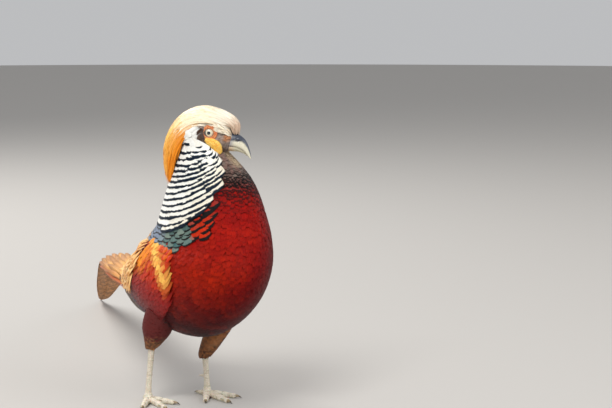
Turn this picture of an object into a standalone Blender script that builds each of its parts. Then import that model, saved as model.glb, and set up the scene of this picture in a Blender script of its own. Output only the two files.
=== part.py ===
"""A cock pheasant of the ruffed kind, standing on the floor with its head turned to its left, at life size.

Metres, +Z up. The bird faces -Y, its left side is +X and its tail lies back and to its left, its tip on the
floor. Everything is worked out round the point on the floor between the feet, and moved at the end so that the
origin is under the middle of the whole bird. Right-hand pieces are at -X.
"""

import math
import random

import bmesh
import bpy
import numpy as np
from mathutils import Matrix, Vector

# Driving dimensions
GAP = 0.0003  # kept between pieces that touch
FLOOR = 0.0
MIDDLE = Vector((0.0656, 0.2327, 0.0))  # the floor point under the middle of the bird, from between its feet
SIDES = {"right": -1.0, "left": 1.0}

# The body from under the head to the root of the tail, as slanted ovals. Each row holds its highest point on the
# back (y, z), its lowest on the front (y, z), half its width, how far it lies to the left, and its turn to the
# left in degrees. A place along the body is a row's number, and may fall between two rows.
BODY_ROWS = (
    (-0.0346, 0.3010, -0.0582, 0.3020, 0.0166, -0.0035, 43.0),
    (-0.0300, 0.2900, -0.0780, 0.2800, 0.0200, 0.0060, 43.0),
    (-0.0210, 0.2720, -0.0900, 0.2640, 0.0280, 0.0110, 40.0),
    (-0.0080, 0.2490, -0.1040, 0.2440, 0.0365, 0.0140, 27.0),
    (0.0060, 0.2240, -0.1200, 0.2160, 0.0450, 0.0148, 13.0),
    (0.0200, 0.2010, -0.1330, 0.1860, 0.0520, 0.0150, 5.0),
    (0.0390, 0.1850, -0.1380, 0.1530, 0.0590, 0.0120, 0.0),
    (0.0600, 0.1710, -0.1220, 0.1200, 0.0590, 0.0100, 0.0),
    (0.0810, 0.1590, -0.0870, 0.0920, 0.0545, 0.0090, 0.0),
    (0.0980, 0.1490, -0.0420, 0.0760, 0.0450, 0.0100, 0.0),
    (0.1110, 0.1410, 0.0140, 0.0770, 0.0355, 0.0100, 0.0),
    (0.1220, 0.1350, 0.0620, 0.0900, 0.0275, 0.0100, -2.0),
    (0.1340, 0.1310, 0.1040, 0.1060, 0.0210, 0.0100, -6.0),
)
# The middle line of the tail past the body: how far back, to the left and up
TAIL_LINE = (
    (0.1650, 0.0170, 0.1215),
    (0.2100, 0.0340, 0.1205),
    (0.3000, 0.0730, 0.1050),
    (0.3900, 0.1100, 0.0760),
    (0.4800, 0.1450, 0.0430),
    (0.5500, 0.1720, 0.0135),
    (0.6050, 0.1930, -0.0020),
)
TAIL_HALF_WIDTHS = (0.0210, 0.0230, 0.0240, 0.0230, 0.0200, 0.0150, 0.0090)
TAIL_HALF_HEIGHTS = (0.0105, 0.0110, 0.0110, 0.0095, 0.0075, 0.0050, 0.0030)
RING = 28  # points round the body
NECK_END = 5.0  # places along the body where one piece ends and the next begins
TORSO_END = 11.2
COVERTS_END = 12.3

# Feathers: half the width at even steps from root to tip, as shares of half the full width
ROUND_TIP = (0.75, 1.00, 0.50)
POINTED_TIP = (0.70, 1.00, 0.14)
LOCK_TIP = (0.60, 1.00, 0.80, 0.12)
LONG_TIP = (0.60, 0.95, 1.00, 0.80, 0.16)
RISE = (0.0, 0.72, 0.84, 0.93, 0.97, 1.0)  # how high a feather has risen at even steps from root to tip
VANE_THICK = 0.0009  # across the body's section, which a feather crosses at a slant
LOCK_THICK = 0.0007

# The ruff of the neck: a shell on the sides and back, narrower lower down, and its overlapping feathers
CAPE_DEPTH = 0.006
CAPE_SIDE_GAP = math.radians(1.0)
CAPE_CORE = 0.0030  # how deep the shell's own outside lies
CAPE_ROOT = -0.0045  # heights of a feather's root and tip
CAPE_RISE = 0.0017
CAPE_TIERS = 7
CAPE_TIER_FIRST = 0.30
CAPE_TIER_LAST = 4.25
CAPE_TIER_COUNTS = (4, 6, 7, 7, 6, 5, 5)
CAPE_LENGTHS = (0.023, 0.037)
CAPE_REACH = 1.3  # how many places a feather spans, for its turn along the ruff's edge
CAPE_CURVE = 0.55  # how much higher along the neck a tier's ends lie than its middle
CAPE_TOP = 0.12
CAPE_LIFT = 0.0032  # how much room the feathers' tips take above the skin
CAPE_EDGE_HEAD = math.radians(88.0)  # how far round it reaches on the head, the neck and the shoulders
CAPE_EDGE_TOP = math.radians(128.0)
CAPE_EDGE_LOW = math.radians(66.0)
CAPE_ACROSS = 8

# The golden feathers of the lower back and rump
RUMP_DEPTH = 0.006
RUMP_FIRST = 6.45
RUMP_EDGE = math.radians(50.0)
RUMP_ACROSS = 4
RUMP_CORE = 0.0030
RUMP_ROOT = -0.0045
RUMP_RISE = 0.0022
RUMP_TIERS = 4
RUMP_TIER_FIRST = 6.6
RUMP_TIER_LAST = 9.8
RUMP_COUNT = 4
RUMP_LENGTH = 0.046
RUMP_WIDTH = 0.0145

# The folded wings
WING_DEPTH = 0.0066  # how much room the folded wing takes above the skin
WING_FIRST = 5.8
WING_LAST = 10.3
WING_ACROSS = 4
WING_UNDER = 0.0012
WING_CORE = 0.0026
WING_ROOT = 0.0019
# Tiers of the wing from the shoulder to the long flight feathers: place of the roots, length, height of the tips
WING_TIERS = (
    (5.85, 0.026, 0.0058),
    (6.65, 0.030, 0.0052),
    (7.55, 0.038, 0.0046),
    (8.60, 0.062, 0.0036),
)
WING_COUNT = 4

# The long coverts that flank the tail, and the tail's feathers
COVERT_COUNT = 8
COVERT_SPREAD = math.radians(105.0)
COVERT_LENGTHS = (0.085, 0.135)
COVERT_WIDTH = 0.0105
RECTRIX_LENGTHS = (1.0, 0.92, 0.79, 0.66, 0.55, 0.45, 0.36, 0.28)  # by pairs, as shares of the tail
RECTRIX_WIDTHS = (1.0, 0.99, 0.97, 0.95, 0.92, 0.88, 0.84, 0.78)  # as shares of half the tail's width
RECTRIX_STATIONS = (12.45, 13.2, 14.0, 15.0, 16.0, 17.0, 18.0, 18.96)  # where all of them bend
RECTRIX_PAST = 0.0008  # how far the widest reach past the tail's outline
RECTRIX_LAYER = 0.0010  # each pair lies this much below the one before
RECTRIX_SLOPE = 0.36  # the tail is vaulted like a roof
RECTRIX_THICK = 0.00055
TAIL_TOP = 0.0011  # how far the middle pair lies inside the tail's outline
TAIL_CORE_END = 12.95  # the end of the plug that holds their roots

# The head's own frame: u forward along the bill, w up, from the point midway between the eyes.
HEAD_AT = Vector((0.0110, -0.0620, 0.3010))
HEAD_TURN = math.radians(43.0)  # to the left
HEAD_NOD = math.radians(7.0)  # bill down
# u, w of the middle, half height, half width
HEAD_ROWS = (
    (0.0235, -0.0068, 0.0092, 0.0078),
    (0.0180, -0.0062, 0.0132, 0.0098),
    (0.0100, -0.0055, 0.0182, 0.0124),
    (0.0000, -0.0030, 0.0208, 0.0145),
    (-0.0110, -0.0010, 0.0215, 0.0163),
    (-0.0220, -0.0020, 0.0200, 0.0163),
    (-0.0310, -0.0040, 0.0135, 0.0136),
    (-0.0360, -0.0030, 0.0080, 0.0085),
)
HEAD_RING = 20
# u, w of the ridge, w of the edge, half width
BILL_UPPER_ROWS = (
    (0.0238, 0.0022, -0.0116, 0.0072),
    (0.0285, 0.0014, -0.0115, 0.0062),
    (0.0330, -0.0006, -0.0127, 0.0051),
    (0.0372, -0.0040, -0.0149, 0.0038),
    (0.0408, -0.0095, -0.0184, 0.0025),
    (0.0436, -0.0158, -0.0215, 0.0013),
    (0.0450, -0.0208, -0.0230, 0.0005),
)
BILL_LOWER_ROWS = (
    (0.0238, -0.0119, -0.0174, 0.0064),
    (0.0285, -0.0118, -0.0168, 0.0054),
    (0.0338, -0.0136, -0.0173, 0.0039),
    (0.0380, -0.0162, -0.0186, 0.0024),
    (0.0404, -0.0190, -0.0201, 0.0010),
)
NOSTRIL_AT = (0.0292, 0.0058, -0.0050)  # u, out to the side, w
NOSTRIL_SIZE = (0.0022, 0.0012, 0.0008)  # half sizes
EYE_OUT = 0.0092  # the eyeball's middle, out from the middle of the head
EYE_RADIUS = 0.0060
LID_RADIUS = 0.0053  # the middle of the lids' ring, which stands this far out from the middle of the head
LID_OUT = 0.0136
LID_THICK = 0.0009
LID_STRETCH = 1.12  # how much longer than high the ring is
# The crest's outer line from the forehead over the crown and down the nape, in the head's frame, with half its
# width: u, w, half width
CREST_ROWS = (
    (0.0306, 0.0020, 0.0062),
    (0.0286, 0.0130, 0.0095),
    (0.0215, 0.0200, 0.0125),
    (0.0110, 0.0240, 0.0150),
    (-0.0010, 0.0265, 0.0170),
    (-0.0140, 0.0265, 0.0180),
    (-0.0270, 0.0215, 0.0180),
    (-0.0390, 0.0115, 0.0175),
    (-0.0475, -0.0030, 0.0165),
    (-0.0515, -0.0200, 0.0150),
    (-0.0512, -0.0330, 0.0130),
    (-0.0488, -0.0460, 0.0100),
    (-0.0450, -0.0590, 0.0060),
)
CREST_DEPTH = 0.0120  # over the head, before the head is cut out of it
CREST_TIP_DEPTH = 0.0030
CREST_ACROSS = 4
CREST_CORE = 0.0024  # how deep the crest's own outside lies under its locks
CREST_TIERS = 5
CREST_TIER_LAST = 9.6
CREST_COUNT = 4
CREST_LOCK_LENGTH = 0.042
CREST_LOCK_WIDTH = 0.0090
CREST_EDGE = math.radians(78.0)
# The wattle below each eye: u, w, half width
WATTLE_ROWS = (
    (-0.0025, -0.0072, 0.0018),
    (0.0030, -0.0094, 0.0042),
    (0.0076, -0.0127, 0.0058),
    (0.0106, -0.0172, 0.0060),
    (0.0118, -0.0214, 0.0048),
    (0.0120, -0.0252, 0.0018),
)

# Legs
HOCK = {"right": Vector((-0.0335, 0.0000, 0.0640)), "left": Vector((0.0320, -0.0030, 0.0640))}
FOOT = {"right": Vector((-0.0360, 0.0040, 0.0095)), "left": Vector((0.0325, -0.0060, 0.0095))}
THIGH_END = {"right": 0.0610, "left": 0.0450}  # height at which the feathering ends
# The thigh's line from inside the body down to the hock
THIGH_LINE = {
    "right": ((-0.0268, -0.0140, 0.1050), (-0.0302, -0.0070, 0.0845), (-0.0320, -0.0031, 0.0730)),
    "left": ((0.0500, -0.0240, 0.1050), (0.0465, -0.0140, 0.0845), (0.0385, -0.0080, 0.0640)),
}
THIGH_RADII = {
    "right": (0.0160, 0.0150, 0.0105, 0.0066, 0.0058),
    "left": (0.0150, 0.0130, 0.0098, 0.0066, 0.0058),
}
SHANK_RADII = (0.0044, 0.0038, 0.0030, 0.0033, 0.0042)
# length, direction from straight ahead in degrees, outwards positive, and radius at the root
TOES = {
    "middle": (0.0430, 3.0, 0.0036),
    "inner": (0.0320, -32.0, 0.0034),
    "outer": (0.0335, 38.0, 0.0034),
    "hind": (0.0140, -168.0, 0.0028),
}
TOE_TAPER = (1.0, 1.0, 0.9, 0.68)
CLAW_LENGTH = 0.0090
SPUR_LENGTH = 0.0085

# Colour and roughness of each kind of sub-part
LOOKS = {
    "head": ((0.33, 0.22, 0.15), 0.70),
    "crest": ((0.93, 0.66, 0.28), 0.50),
    "neck": ((0.42, 0.03, 0.02), 0.60),
    "cape": ((0.86, 0.85, 0.78), 0.60),
    "torso": ((0.50, 0.03, 0.02), 0.55),
    "rump": ((0.92, 0.62, 0.16), 0.50),
    "tail_coverts": ((0.76, 0.30, 0.16), 0.55),
    "tail": ((0.45, 0.27, 0.11), 0.60),
    "wing": ((0.38, 0.10, 0.05), 0.50),
    "thigh": ((0.42, 0.20, 0.07), 0.70),
    "shank": ((0.78, 0.72, 0.52), 0.45),
    "foot": ((0.74, 0.68, 0.50), 0.45),
    "claw": ((0.42, 0.35, 0.25), 0.35),
    "eye": ((0.85, 0.82, 0.66), 0.05),
    "wattle": ((0.90, 0.60, 0.10), 0.45),
    "bill_upper": ((0.30, 0.33, 0.38), 0.30),
    "bill_lower": ((0.80, 0.76, 0.62), 0.35),
}


def material(name, colour, roughness):
    """A Principled material."""
    made = bpy.data.materials.new(name)
    made.use_nodes = True
    shader = made.node_tree.nodes["Principled BSDF"]
    shader.inputs["Base Color"].default_value = (*colour, 1.0)
    shader.inputs["Roughness"].default_value = roughness
    made.diffuse_color = (*colour, 1.0)
    return made


def spline(rows, place):
    """The row at this place on a smooth curve through the rows, where place counts rows from 0."""
    last = len(rows) - 1
    i = min(max(int(math.floor(place)), 0), last - 1)
    t = place - i
    start, end = rows[i], rows[i + 1]
    leave = (end - rows[i - 1]) / 2 if i > 0 else end - start
    arrive = (rows[i + 2] - start) / 2 if i < last - 1 else end - start
    t2, t3 = t * t, t * t * t
    return (
        (2 * t3 - 3 * t2 + 1) * start
        + (t3 - 2 * t2 + t) * leave
        + (3 * t2 - 2 * t3) * end
        + (t3 - t2) * arrive
    )


def tail_rows():
    """The tail's line as rows like the body's, square to the line."""
    line = np.array(TAIL_LINE)
    rows = []
    for i, (y, x, z) in enumerate(line):
        step = line[min(i + 1, len(line) - 1)] - line[max(i - 1, 0)]
        turn = -math.degrees(math.atan2(step[1], step[0]))
        slope = math.atan2(step[2], math.hypot(step[0], step[1]))
        high = TAIL_HALF_HEIGHTS[i]
        lean = -math.sin(slope) * high
        rise = math.cos(slope) * high
        rows.append((y + lean, z + rise, y - lean, z - rise, TAIL_HALF_WIDTHS[i], x, turn))
    return rows


BODY = np.array(BODY_ROWS + tuple(tail_rows()))
HEAD = np.array(HEAD_ROWS)
CREST = np.array(CREST_ROWS)


def body_skin(place, angle):
    """The point on the body's outline at this place and angle from the back, positive to the left."""
    back_y, back_z, front_y, front_z, half, x, turn = spline(BODY, place)
    along, across = math.cos(angle), half * math.sin(angle)
    depth = (back_y - front_y) / 2 * along
    turn = math.radians(turn)
    return np.array(
        (
            x + across * math.cos(turn) - depth * math.sin(turn),
            (back_y + front_y) / 2 + across * math.sin(turn) + depth * math.cos(turn),
            (back_z + front_z) / 2 + (back_z - front_z) / 2 * along,
        )
    )


def head_frame():
    """The head's frame: X forward along the bill, Y to the bird's left, Z up."""
    turn = Matrix.Rotation(HEAD_TURN - math.pi / 2, 4, "Z")
    return Matrix.Translation(HEAD_AT) @ turn @ Matrix.Rotation(HEAD_NOD, 4, "Y")


HEAD_FRAME = head_frame()


def from_head(u, v, w):
    """A point of the head's frame, v to the left, in the bird's frame."""
    return np.array(HEAD_FRAME @ Vector((u, v, w)))


def head_skin(place, angle):
    """The point on the head at this place, counted from the bill, and angle from the crown."""
    u, middle, high, half = spline(HEAD, place)
    return from_head(u, half * math.sin(angle), middle + high * math.cos(angle))


def crest_skin(place, angle):
    """The point on the crest's outer face at this place from the forehead and angle from its middle line."""
    u, w, half = spline(CREST, place)
    ahead = spline(CREST, place + 0.02) - spline(CREST, place - 0.02)
    size = math.hypot(ahead[0], ahead[1])
    out_u, out_w = ahead[1] / size, -ahead[0] / size
    drop = half * (1 - math.cos(angle))
    return from_head(u - out_u * drop, half * math.sin(angle), w - out_w * drop)


def raised(skin, place, angle, height):
    """The point this high above a skin."""
    step = 1e-3
    along = skin(place + step, angle) - skin(place - step, angle)
    across = skin(place, angle + step) - skin(place, angle - step)
    normal = np.cross(across, along)
    return skin(place, angle) + normal / np.linalg.norm(normal) * height


def cells(first, second, across, closed=False):
    """Triangles between two rows of points numbered from first and from second, always split the same way."""
    found = []
    for j in range(across if closed else across - 1):
        k = (j + 1) % across
        found.append((first + j, first + k, second + k))
        found.append((first + j, second + k, second + j))
    return found


def solid(name, points, faces, finish):
    """An object from points and triangles, turned to face outwards."""
    points = np.array(points)
    a, b, c = (points[np.array(faces)[:, i]] for i in range(3))
    if np.einsum("ij,ij->", a, np.cross(b, c)) < 0:
        faces = [face[::-1] for face in faces]
    mesh = bpy.data.meshes.new(name)
    mesh.from_pydata([tuple(map(float, point)) for point in points], [], faces)
    mesh.materials.append(finish)
    made = bpy.data.objects.new(name, mesh)
    bpy.context.scene.collection.objects.link(made)
    return made


def loft(name, rings, finish):
    """A closed form through rings of points, with flat ends."""
    across = len(rings[0])
    points = [point for ring in rings for point in ring]
    faces = []
    for i in range(len(rings) - 1):
        faces += cells(i * across, (i + 1) * across, across, closed=True)
    for row, flip in ((0, True), (len(rings) - 1, False)):
        middle = len(points)
        points.append(sum(rings[row]) / across)
        for j in range(across):
            face = (row * across + j, row * across + (j + 1) % across, middle)
            faces.append(face[::-1] if flip else face)
    return solid(name, points, faces, finish)


def slab(name, top, bottom, finish):
    """A closed form between two sheets of rows of points, each split the same way."""
    rows, across = len(top), len(top[0])
    points = [point for row in top for point in row] + [point for row in bottom for point in row]
    under = rows * across
    faces = []
    for i in range(rows - 1):
        upper = cells(i * across, (i + 1) * across, across)
        faces += upper
        faces += [tuple(under + corner for corner in face[::-1]) for face in upper]
        a, b = i * across, (i + 1) * across
        faces += [(under + b, under + a, a), (b, under + b, a)]
        a, b = a + across - 1, b + across - 1
        faces += [(under + a, under + b, b), (under + a, b, a)]
    for i, flip in ((0, False), (rows - 1, True)):
        for j in range(across - 1):
            a, b = i * across + j, i * across + j + 1
            side = [(a, under + a, under + b), (a, under + b, b)]
            faces += [face[::-1] if flip else face for face in side]
    return solid(name, points, faces, finish)


def apply_boolean(target, operation, others, exact=False):
    """Joins or cuts the target with the other objects, which are then removed."""
    group = bpy.data.collections.new("pieces")
    bpy.context.scene.collection.children.link(group)
    for other in others:
        bpy.context.scene.collection.objects.unlink(other)
        group.objects.link(other)
    change = target.modifiers.new("change", "BOOLEAN")
    change.operation = operation
    change.operand_type = "COLLECTION"
    change.collection = group
    change.solver = "EXACT" if exact else "MANIFOLD"
    bpy.context.view_layer.objects.active = target
    bpy.ops.object.modifier_apply(modifier="change")
    for other in others:
        bpy.data.meshes.remove(other.data)
    bpy.data.collections.remove(group)
    keep_largest(target)


def keep_largest(target):
    """Leaves only the target's largest closed surface."""
    work = bmesh.new()
    work.from_mesh(target.data)
    left = set(work.faces)
    parts = []
    while left:
        queue = [left.pop()]
        part = list(queue)
        while queue:
            for edge in queue.pop().edges:
                for face in edge.link_faces:
                    if face in left:
                        left.remove(face)
                        queue.append(face)
                        part.append(face)
        parts.append(part)
    largest = max(parts, key=surface_volume)
    for part in parts:
        if part is not largest:
            bmesh.ops.delete(work, geom=part, context="FACES")
    work.to_mesh(target.data)
    work.free()


def surface_volume(faces):
    """The volume inside closed faces."""
    total = 0.0
    for face in faces:
        first = face.verts[0].co
        for a, b in zip(face.verts[1:], face.verts[2:]):
            total += first.dot(a.co.cross(b.co))
    return total / 6


def vane(surface, place, angle, length, width, heights, shape, finish, drift=0.0, thick=VANE_THICK, lead=1.0):
    """A flat tapered feather that lies back along a surface from its root.

    surface: gives the point at a place, an angle and a height. place, angle: the root. heights: of the root and
    of the tip. shape: shares of half the width from root to tip. drift: how far the feather turns aside along
    its length, in radians of the angle. lead: the first step's length as a share of an even one; a short first
    step makes the feather rise steeply.
    """
    top, bottom = [], []
    spot = place
    last = len(shape) - 1
    for i, share in enumerate(shape):
        t = max(i - 1 + lead, 0.0) / (last - 1 + lead) if i else 0.0
        height = heights[0] + (heights[1] - heights[0]) * RISE[round(i / last * (len(RISE) - 1))]
        turned = angle + drift * t
        girth = np.linalg.norm(surface(spot, turned + 0.01, 0.0) - surface(spot, turned - 0.01, 0.0)) / 0.02
        reach = np.linalg.norm(surface(spot + 0.01, turned, 0.0) - surface(spot - 0.01, turned, 0.0)) / 0.02
        wide = width / 2 * share / girth
        body = thick * (1.0 - 0.3 * t) / 2
        top.append([surface(spot, turned + side * wide, height + body) for side in (-1, 1)])
        bottom.append([surface(spot, turned + side * wide, height - body) for side in (-1, 1)])
        spot += length / (last - 1 + lead) / reach * (lead if i == 0 else 1.0)
    return slab("vane", top, bottom, finish)


def on_body(place, angle, height):
    """The point this high above the body's skin, in the same section."""
    return sunk(place, angle, -height)


def on_crest(place, angle, height):
    """The point this high above the crest's outer face."""
    return raised(crest_skin, place, angle, height)


def sunk(place, angle, depth):
    """The point this deep under the body's skin, in the same section."""
    point = body_skin(place, angle)
    middle = (body_skin(place, 0.0) + body_skin(place, math.pi)) / 2
    return point + (middle - point) / np.linalg.norm(middle - point) * depth


def body_ring(place, arcs):
    """A ring of the body's section from pairs of an angle and a depth under the skin."""
    return [sunk(place, angle, depth) for angle, depth in arcs]


def even_arcs(depth=0.0):
    """The plain ring: points evenly round the body."""
    return [(2 * math.pi * j / RING, depth) for j in range(RING)]


def recessed_arcs(edge, depth, across):
    """A ring that is sunk between -edge and +edge, to hold a shell, and lies on the skin elsewhere."""
    held = [(edge * (2 * j / across - 1), depth) for j in range(across + 1)]
    step = 0.035
    rest = RING - across
    clear = [edge + step + (2 * math.pi - 2 * edge - 2 * step) * j / rest for j in range(rest + 1)]
    return held + [(angle, 0.0) for angle in clear]


def shift_end(ring, towards):
    """Moves an end ring by half a gap towards a point, so that two pieces keep a gap between them."""
    middle = sum(ring) / len(ring)
    quarter = len(ring) // 4
    normal = np.cross(ring[0] - middle, ring[quarter] - middle)
    normal /= np.linalg.norm(normal)
    if np.dot(normal, towards - middle) < 0:
        normal = -normal
    return [point + normal * GAP / 2 for point in ring]


def body_piece(name, places, arcs_at, finish):
    """A length of the body through the given places, half a gap short at both ends."""
    rings = [body_ring(place, arcs_at(place)) for place in places]
    middle = sum(rings[len(rings) // 2]) / len(rings[0])
    rings[0] = shift_end(rings[0], middle)
    rings[-1] = shift_end(rings[-1], middle)
    return loft(name, rings, finish)


def cape_edge(place):
    """How far round the ruff reaches at this place, from the back."""
    if place < 1.2:
        return CAPE_EDGE_HEAD + (CAPE_EDGE_TOP - CAPE_EDGE_HEAD) * math.sin(math.pi / 2 * place / 1.2)
    t = min(max((place - 2.0) / (NECK_END - 2.0), 0.0), 1.0)
    return CAPE_EDGE_TOP + (CAPE_EDGE_LOW - CAPE_EDGE_TOP) * t ** 1.3


def inner_places(first, last, count):
    """Even places along the body, the ends a little inside first and last."""
    places = list(np.linspace(first, last, count))
    places[0] += 0.02
    places[-1] -= 0.03
    return places


def cape_places():
    """The rows of the ruff and of the neck under it, closer where its edge turns quickly."""
    return inner_places(CAPE_TOP, 1.4, 5)[:-1] + inner_places(1.38, NECK_END, 7)


def make_neck(finish):
    """The neck, sunk where the ruff's shell lies on it."""
    def arcs(place):
        if place < CAPE_TOP:
            return recessed_arcs(cape_edge(place), 0.0, CAPE_ACROSS)
        return recessed_arcs(cape_edge(place), CAPE_DEPTH + GAP, CAPE_ACROSS)

    places = [0.0, CAPE_TOP - 0.02, CAPE_TOP] + cape_places() + [NECK_END]
    return body_piece("neck", places, arcs, finish)


def cape_vanes(finish):
    """The ruff's feathers in tiers that rise towards the front of the neck."""
    draw = random.Random(3)
    found = []
    for tier in range(CAPE_TIERS):
        t = tier / (CAPE_TIERS - 1)
        middle = CAPE_TIER_FIRST + (CAPE_TIER_LAST - CAPE_TIER_FIRST) * t
        count = CAPE_TIER_COUNTS[tier]
        length = CAPE_LENGTHS[0] + (CAPE_LENGTHS[1] - CAPE_LENGTHS[0]) * t
        for i in range(count):
            across = (i + 0.5 + 0.25 * (-1) ** tier) / count * 2 - 1
            limit = 0.92 - 0.93 / count
            across = max(min(across, limit), -limit)
            place = max(middle - CAPE_CURVE * (0.4 + t) * across ** 2, CAPE_TOP + 0.12)
            edge = cape_edge(place)
            girth = np.linalg.norm(body_skin(place, 0.01) - body_skin(place, -0.01)) / 0.02
            width = 2 * edge * girth / count * 0.93
            angle = across * edge
            drift = across * min(cape_edge(place + CAPE_REACH) - edge, 0.0)
            size = length * draw.uniform(0.94, 1.06)
            heights = (CAPE_ROOT, CAPE_RISE + 0.0008 * t)
            found.append(vane(on_body, place, angle, size, width, heights, ROUND_TIP, finish, drift))
    return found


def make_cape(finish):
    """The ruff on the sides and back of the neck, its lower feathers lying over the shoulders."""
    top, bottom = [], []
    for place in cape_places():
        edge = cape_edge(place)
        angles = [edge * (2 * j / CAPE_ACROSS - 1) for j in range(CAPE_ACROSS + 1)]
        angles[0] += CAPE_SIDE_GAP
        angles[-1] -= CAPE_SIDE_GAP
        top.append([sunk(place, angle, CAPE_CORE) for angle in angles])
        bottom.append([sunk(place, angle, CAPE_DEPTH) for angle in angles])
    cape = slab("cape", top, bottom, finish)
    apply_boolean(cape, "UNION", cape_vanes(finish))
    apply_boolean(cape, "DIFFERENCE", [body_form(NECK_END + 0.01, NECK_END + 2.0, 2 * GAP, finish)])
    return cape


def make_torso(finish):
    """The breast, belly and back, sunk where the rump feathers' shell lies."""
    def arcs(place):
        if place < RUMP_FIRST - 0.01:
            return recessed_arcs(RUMP_EDGE, 0.0, RUMP_ACROSS)
        return recessed_arcs(RUMP_EDGE, RUMP_DEPTH + GAP, RUMP_ACROSS)

    places = list(np.linspace(NECK_END, RUMP_FIRST - 0.02, 4)) + [RUMP_FIRST]
    places += inner_places(RUMP_FIRST, TORSO_END, 9) + [TORSO_END]
    return body_piece("torso", places, arcs, finish)


def make_rump(finish):
    """The golden feathers of the lower back, in tiers on a shell."""
    angles = [RUMP_EDGE * (2 * j / RUMP_ACROSS - 1) for j in range(RUMP_ACROSS + 1)]
    places = inner_places(RUMP_FIRST, TORSO_END, 9)
    top = [[sunk(place, angle, RUMP_CORE) for angle in angles] for place in places]
    bottom = [[sunk(place, angle, RUMP_DEPTH) for angle in angles] for place in places]
    rump = slab("rump", top, bottom, finish)
    draw = random.Random(5)
    vanes = []
    for tier in range(RUMP_TIERS):
        place = RUMP_TIER_FIRST + (RUMP_TIER_LAST - RUMP_TIER_FIRST) * tier / (RUMP_TIERS - 1)
        for i in range(RUMP_COUNT):
            angle = RUMP_EDGE * 0.84 * ((i + 0.5 + 0.25 * (-1) ** tier) / RUMP_COUNT * 2 - 1)
            size = RUMP_LENGTH * draw.uniform(0.92, 1.08)
            heights = (RUMP_ROOT, RUMP_RISE + 0.0016 * tier / (RUMP_TIERS - 1))
            vanes.append(vane(on_body, place, angle, size, RUMP_WIDTH, heights, POINTED_TIP, finish))
    apply_boolean(rump, "UNION", vanes)
    return rump


def make_tail_coverts(finish):
    """The root of the tail, with the long pointed coverts that flank it."""
    places = list(np.linspace(TORSO_END, COVERTS_END, 3))
    coverts = body_piece("tail_coverts", places, lambda place: even_arcs(), finish)
    draw = random.Random(7)
    vanes = []
    for i in range(COVERT_COUNT):
        across = i / (COVERT_COUNT - 1) * 2 - 1
        place = COVERTS_END - 0.75
        length = COVERT_LENGTHS[0] + (COVERT_LENGTHS[1] - COVERT_LENGTHS[0]) * abs(across)
        length *= draw.uniform(0.93, 1.07)
        angle = across * COVERT_SPREAD
        heights = (-0.0020, 0.0022 + 0.0012 * abs(across))
        width = COVERT_WIDTH * (1.0 - 0.45 * abs(across) ** 3)
        made = vane(on_body, place, angle, length, width, heights, LONG_TIP, finish, lead=0.4)
        vanes.append(made)
    apply_boolean(coverts, "UNION", vanes)
    return coverts


def tail_point(place, out, rise):
    """The point this far to the left of the tail's middle line and this far above it."""
    middle = (body_skin(place, 0.0) + body_skin(place, math.pi)) / 2
    left = body_skin(place, math.pi / 2) - middle
    up = body_skin(place, 0.0) - middle
    return middle + left / np.linalg.norm(left) * out + up / np.linalg.norm(up) * rise


def rectrix_row(pair, sign, place, share):
    """The upper edge points of a tail feather at this place, and the lower ones."""
    row = spline(BODY, place)
    half_height = math.hypot(row[0] - row[2], row[1] - row[3]) / 2
    inner = 0.0005 + 0.0003 * pair
    outer = inner + (row[4] + RECTRIX_PAST - inner) * RECTRIX_WIDTHS[pair] * share
    rises = [half_height - TAIL_TOP - RECTRIX_LAYER * pair - RECTRIX_SLOPE * out for out in (inner, outer)]
    upper = [tail_point(place, sign * out, rise) for out, rise in zip((inner, outer), rises)]
    lower = [tail_point(place, sign * out, rise - RECTRIX_THICK) for out, rise in zip((inner, outer), rises)]
    return np.array(upper), np.array(lower)


def rectrix(pair, sign, finish):
    """One long feather of the tail, under those of the pairs nearer the middle."""
    first, last = RECTRIX_STATIONS[0], RECTRIX_STATIONS[-1]
    end = first + (last - first) * RECTRIX_LENGTHS[pair]
    top, bottom = [], []
    for i, place in enumerate(RECTRIX_STATIONS):
        if place >= end - 0.05:
            before = RECTRIX_STATIONS[i - 1]
            part = (end - before) / (place - before)
            for rows, edge in ((top, 0), (bottom, 1)):
                narrow = rectrix_row(pair, sign, place, 0.14)[edge]
                rows.append(rectrix_row(pair, sign, before, 0.14)[edge] * (1 - part) + narrow * part)
            break
        t = (place - first) / (end - first)
        share = np.interp(t, (0.0, 0.25, 0.7, 0.9), (0.75, 1.0, 0.95, 0.62))
        upper, lower = rectrix_row(pair, sign, place, share)
        top.append(upper)
        bottom.append(lower)
    return slab("rectrix", top, bottom, finish)


def make_tail(finish):
    """The long tail in pairs of graded feathers, its tip on the floor."""
    rings = [body_ring(place, even_arcs(GAP)) for place in (COVERTS_END, TAIL_CORE_END)]
    rings[0] = shift_end(rings[0], sum(rings[-1]) / RING)
    tail = loft("tail", rings, finish)
    vanes = [rectrix(pair, sign, finish) for pair in range(len(RECTRIX_LENGTHS)) for sign in SIDES.values()]
    apply_boolean(tail, "UNION", vanes)
    cut_at_floor(tail, finish)
    return tail


def cut_at_floor(target, finish):
    """Cuts away what would reach below the floor."""
    corners = [(x, y, z) for z in (-0.1, FLOOR) for y in (-1.0, 1.0) for x in (-1.0, 1.0)]
    faces = [(0, 2, 3, 1), (4, 5, 7, 6), (0, 1, 5, 4), (2, 6, 7, 3), (0, 4, 6, 2), (1, 3, 7, 5)]
    halves = [face[:3] for face in faces] + [(face[0], face[2], face[3]) for face in faces]
    floor = solid("floor", corners, halves, finish)
    apply_boolean(target, "DIFFERENCE", [floor])


def wing_span(place):
    """The upper and lower edge of the folded wing at this place, as angles from the back."""
    t = (place - WING_FIRST) / (WING_LAST - WING_FIRST)
    upper = math.radians(62.0 - 8.0 * math.sin(math.pi * min(t * 1.4, 1.0)) + 10.0 * t)
    lower = math.radians(88.0 + 34.0 * math.sin(math.pi * min(0.12 + 0.8 * t, 1.0)) - 6.0 * t)
    return upper, lower


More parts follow.
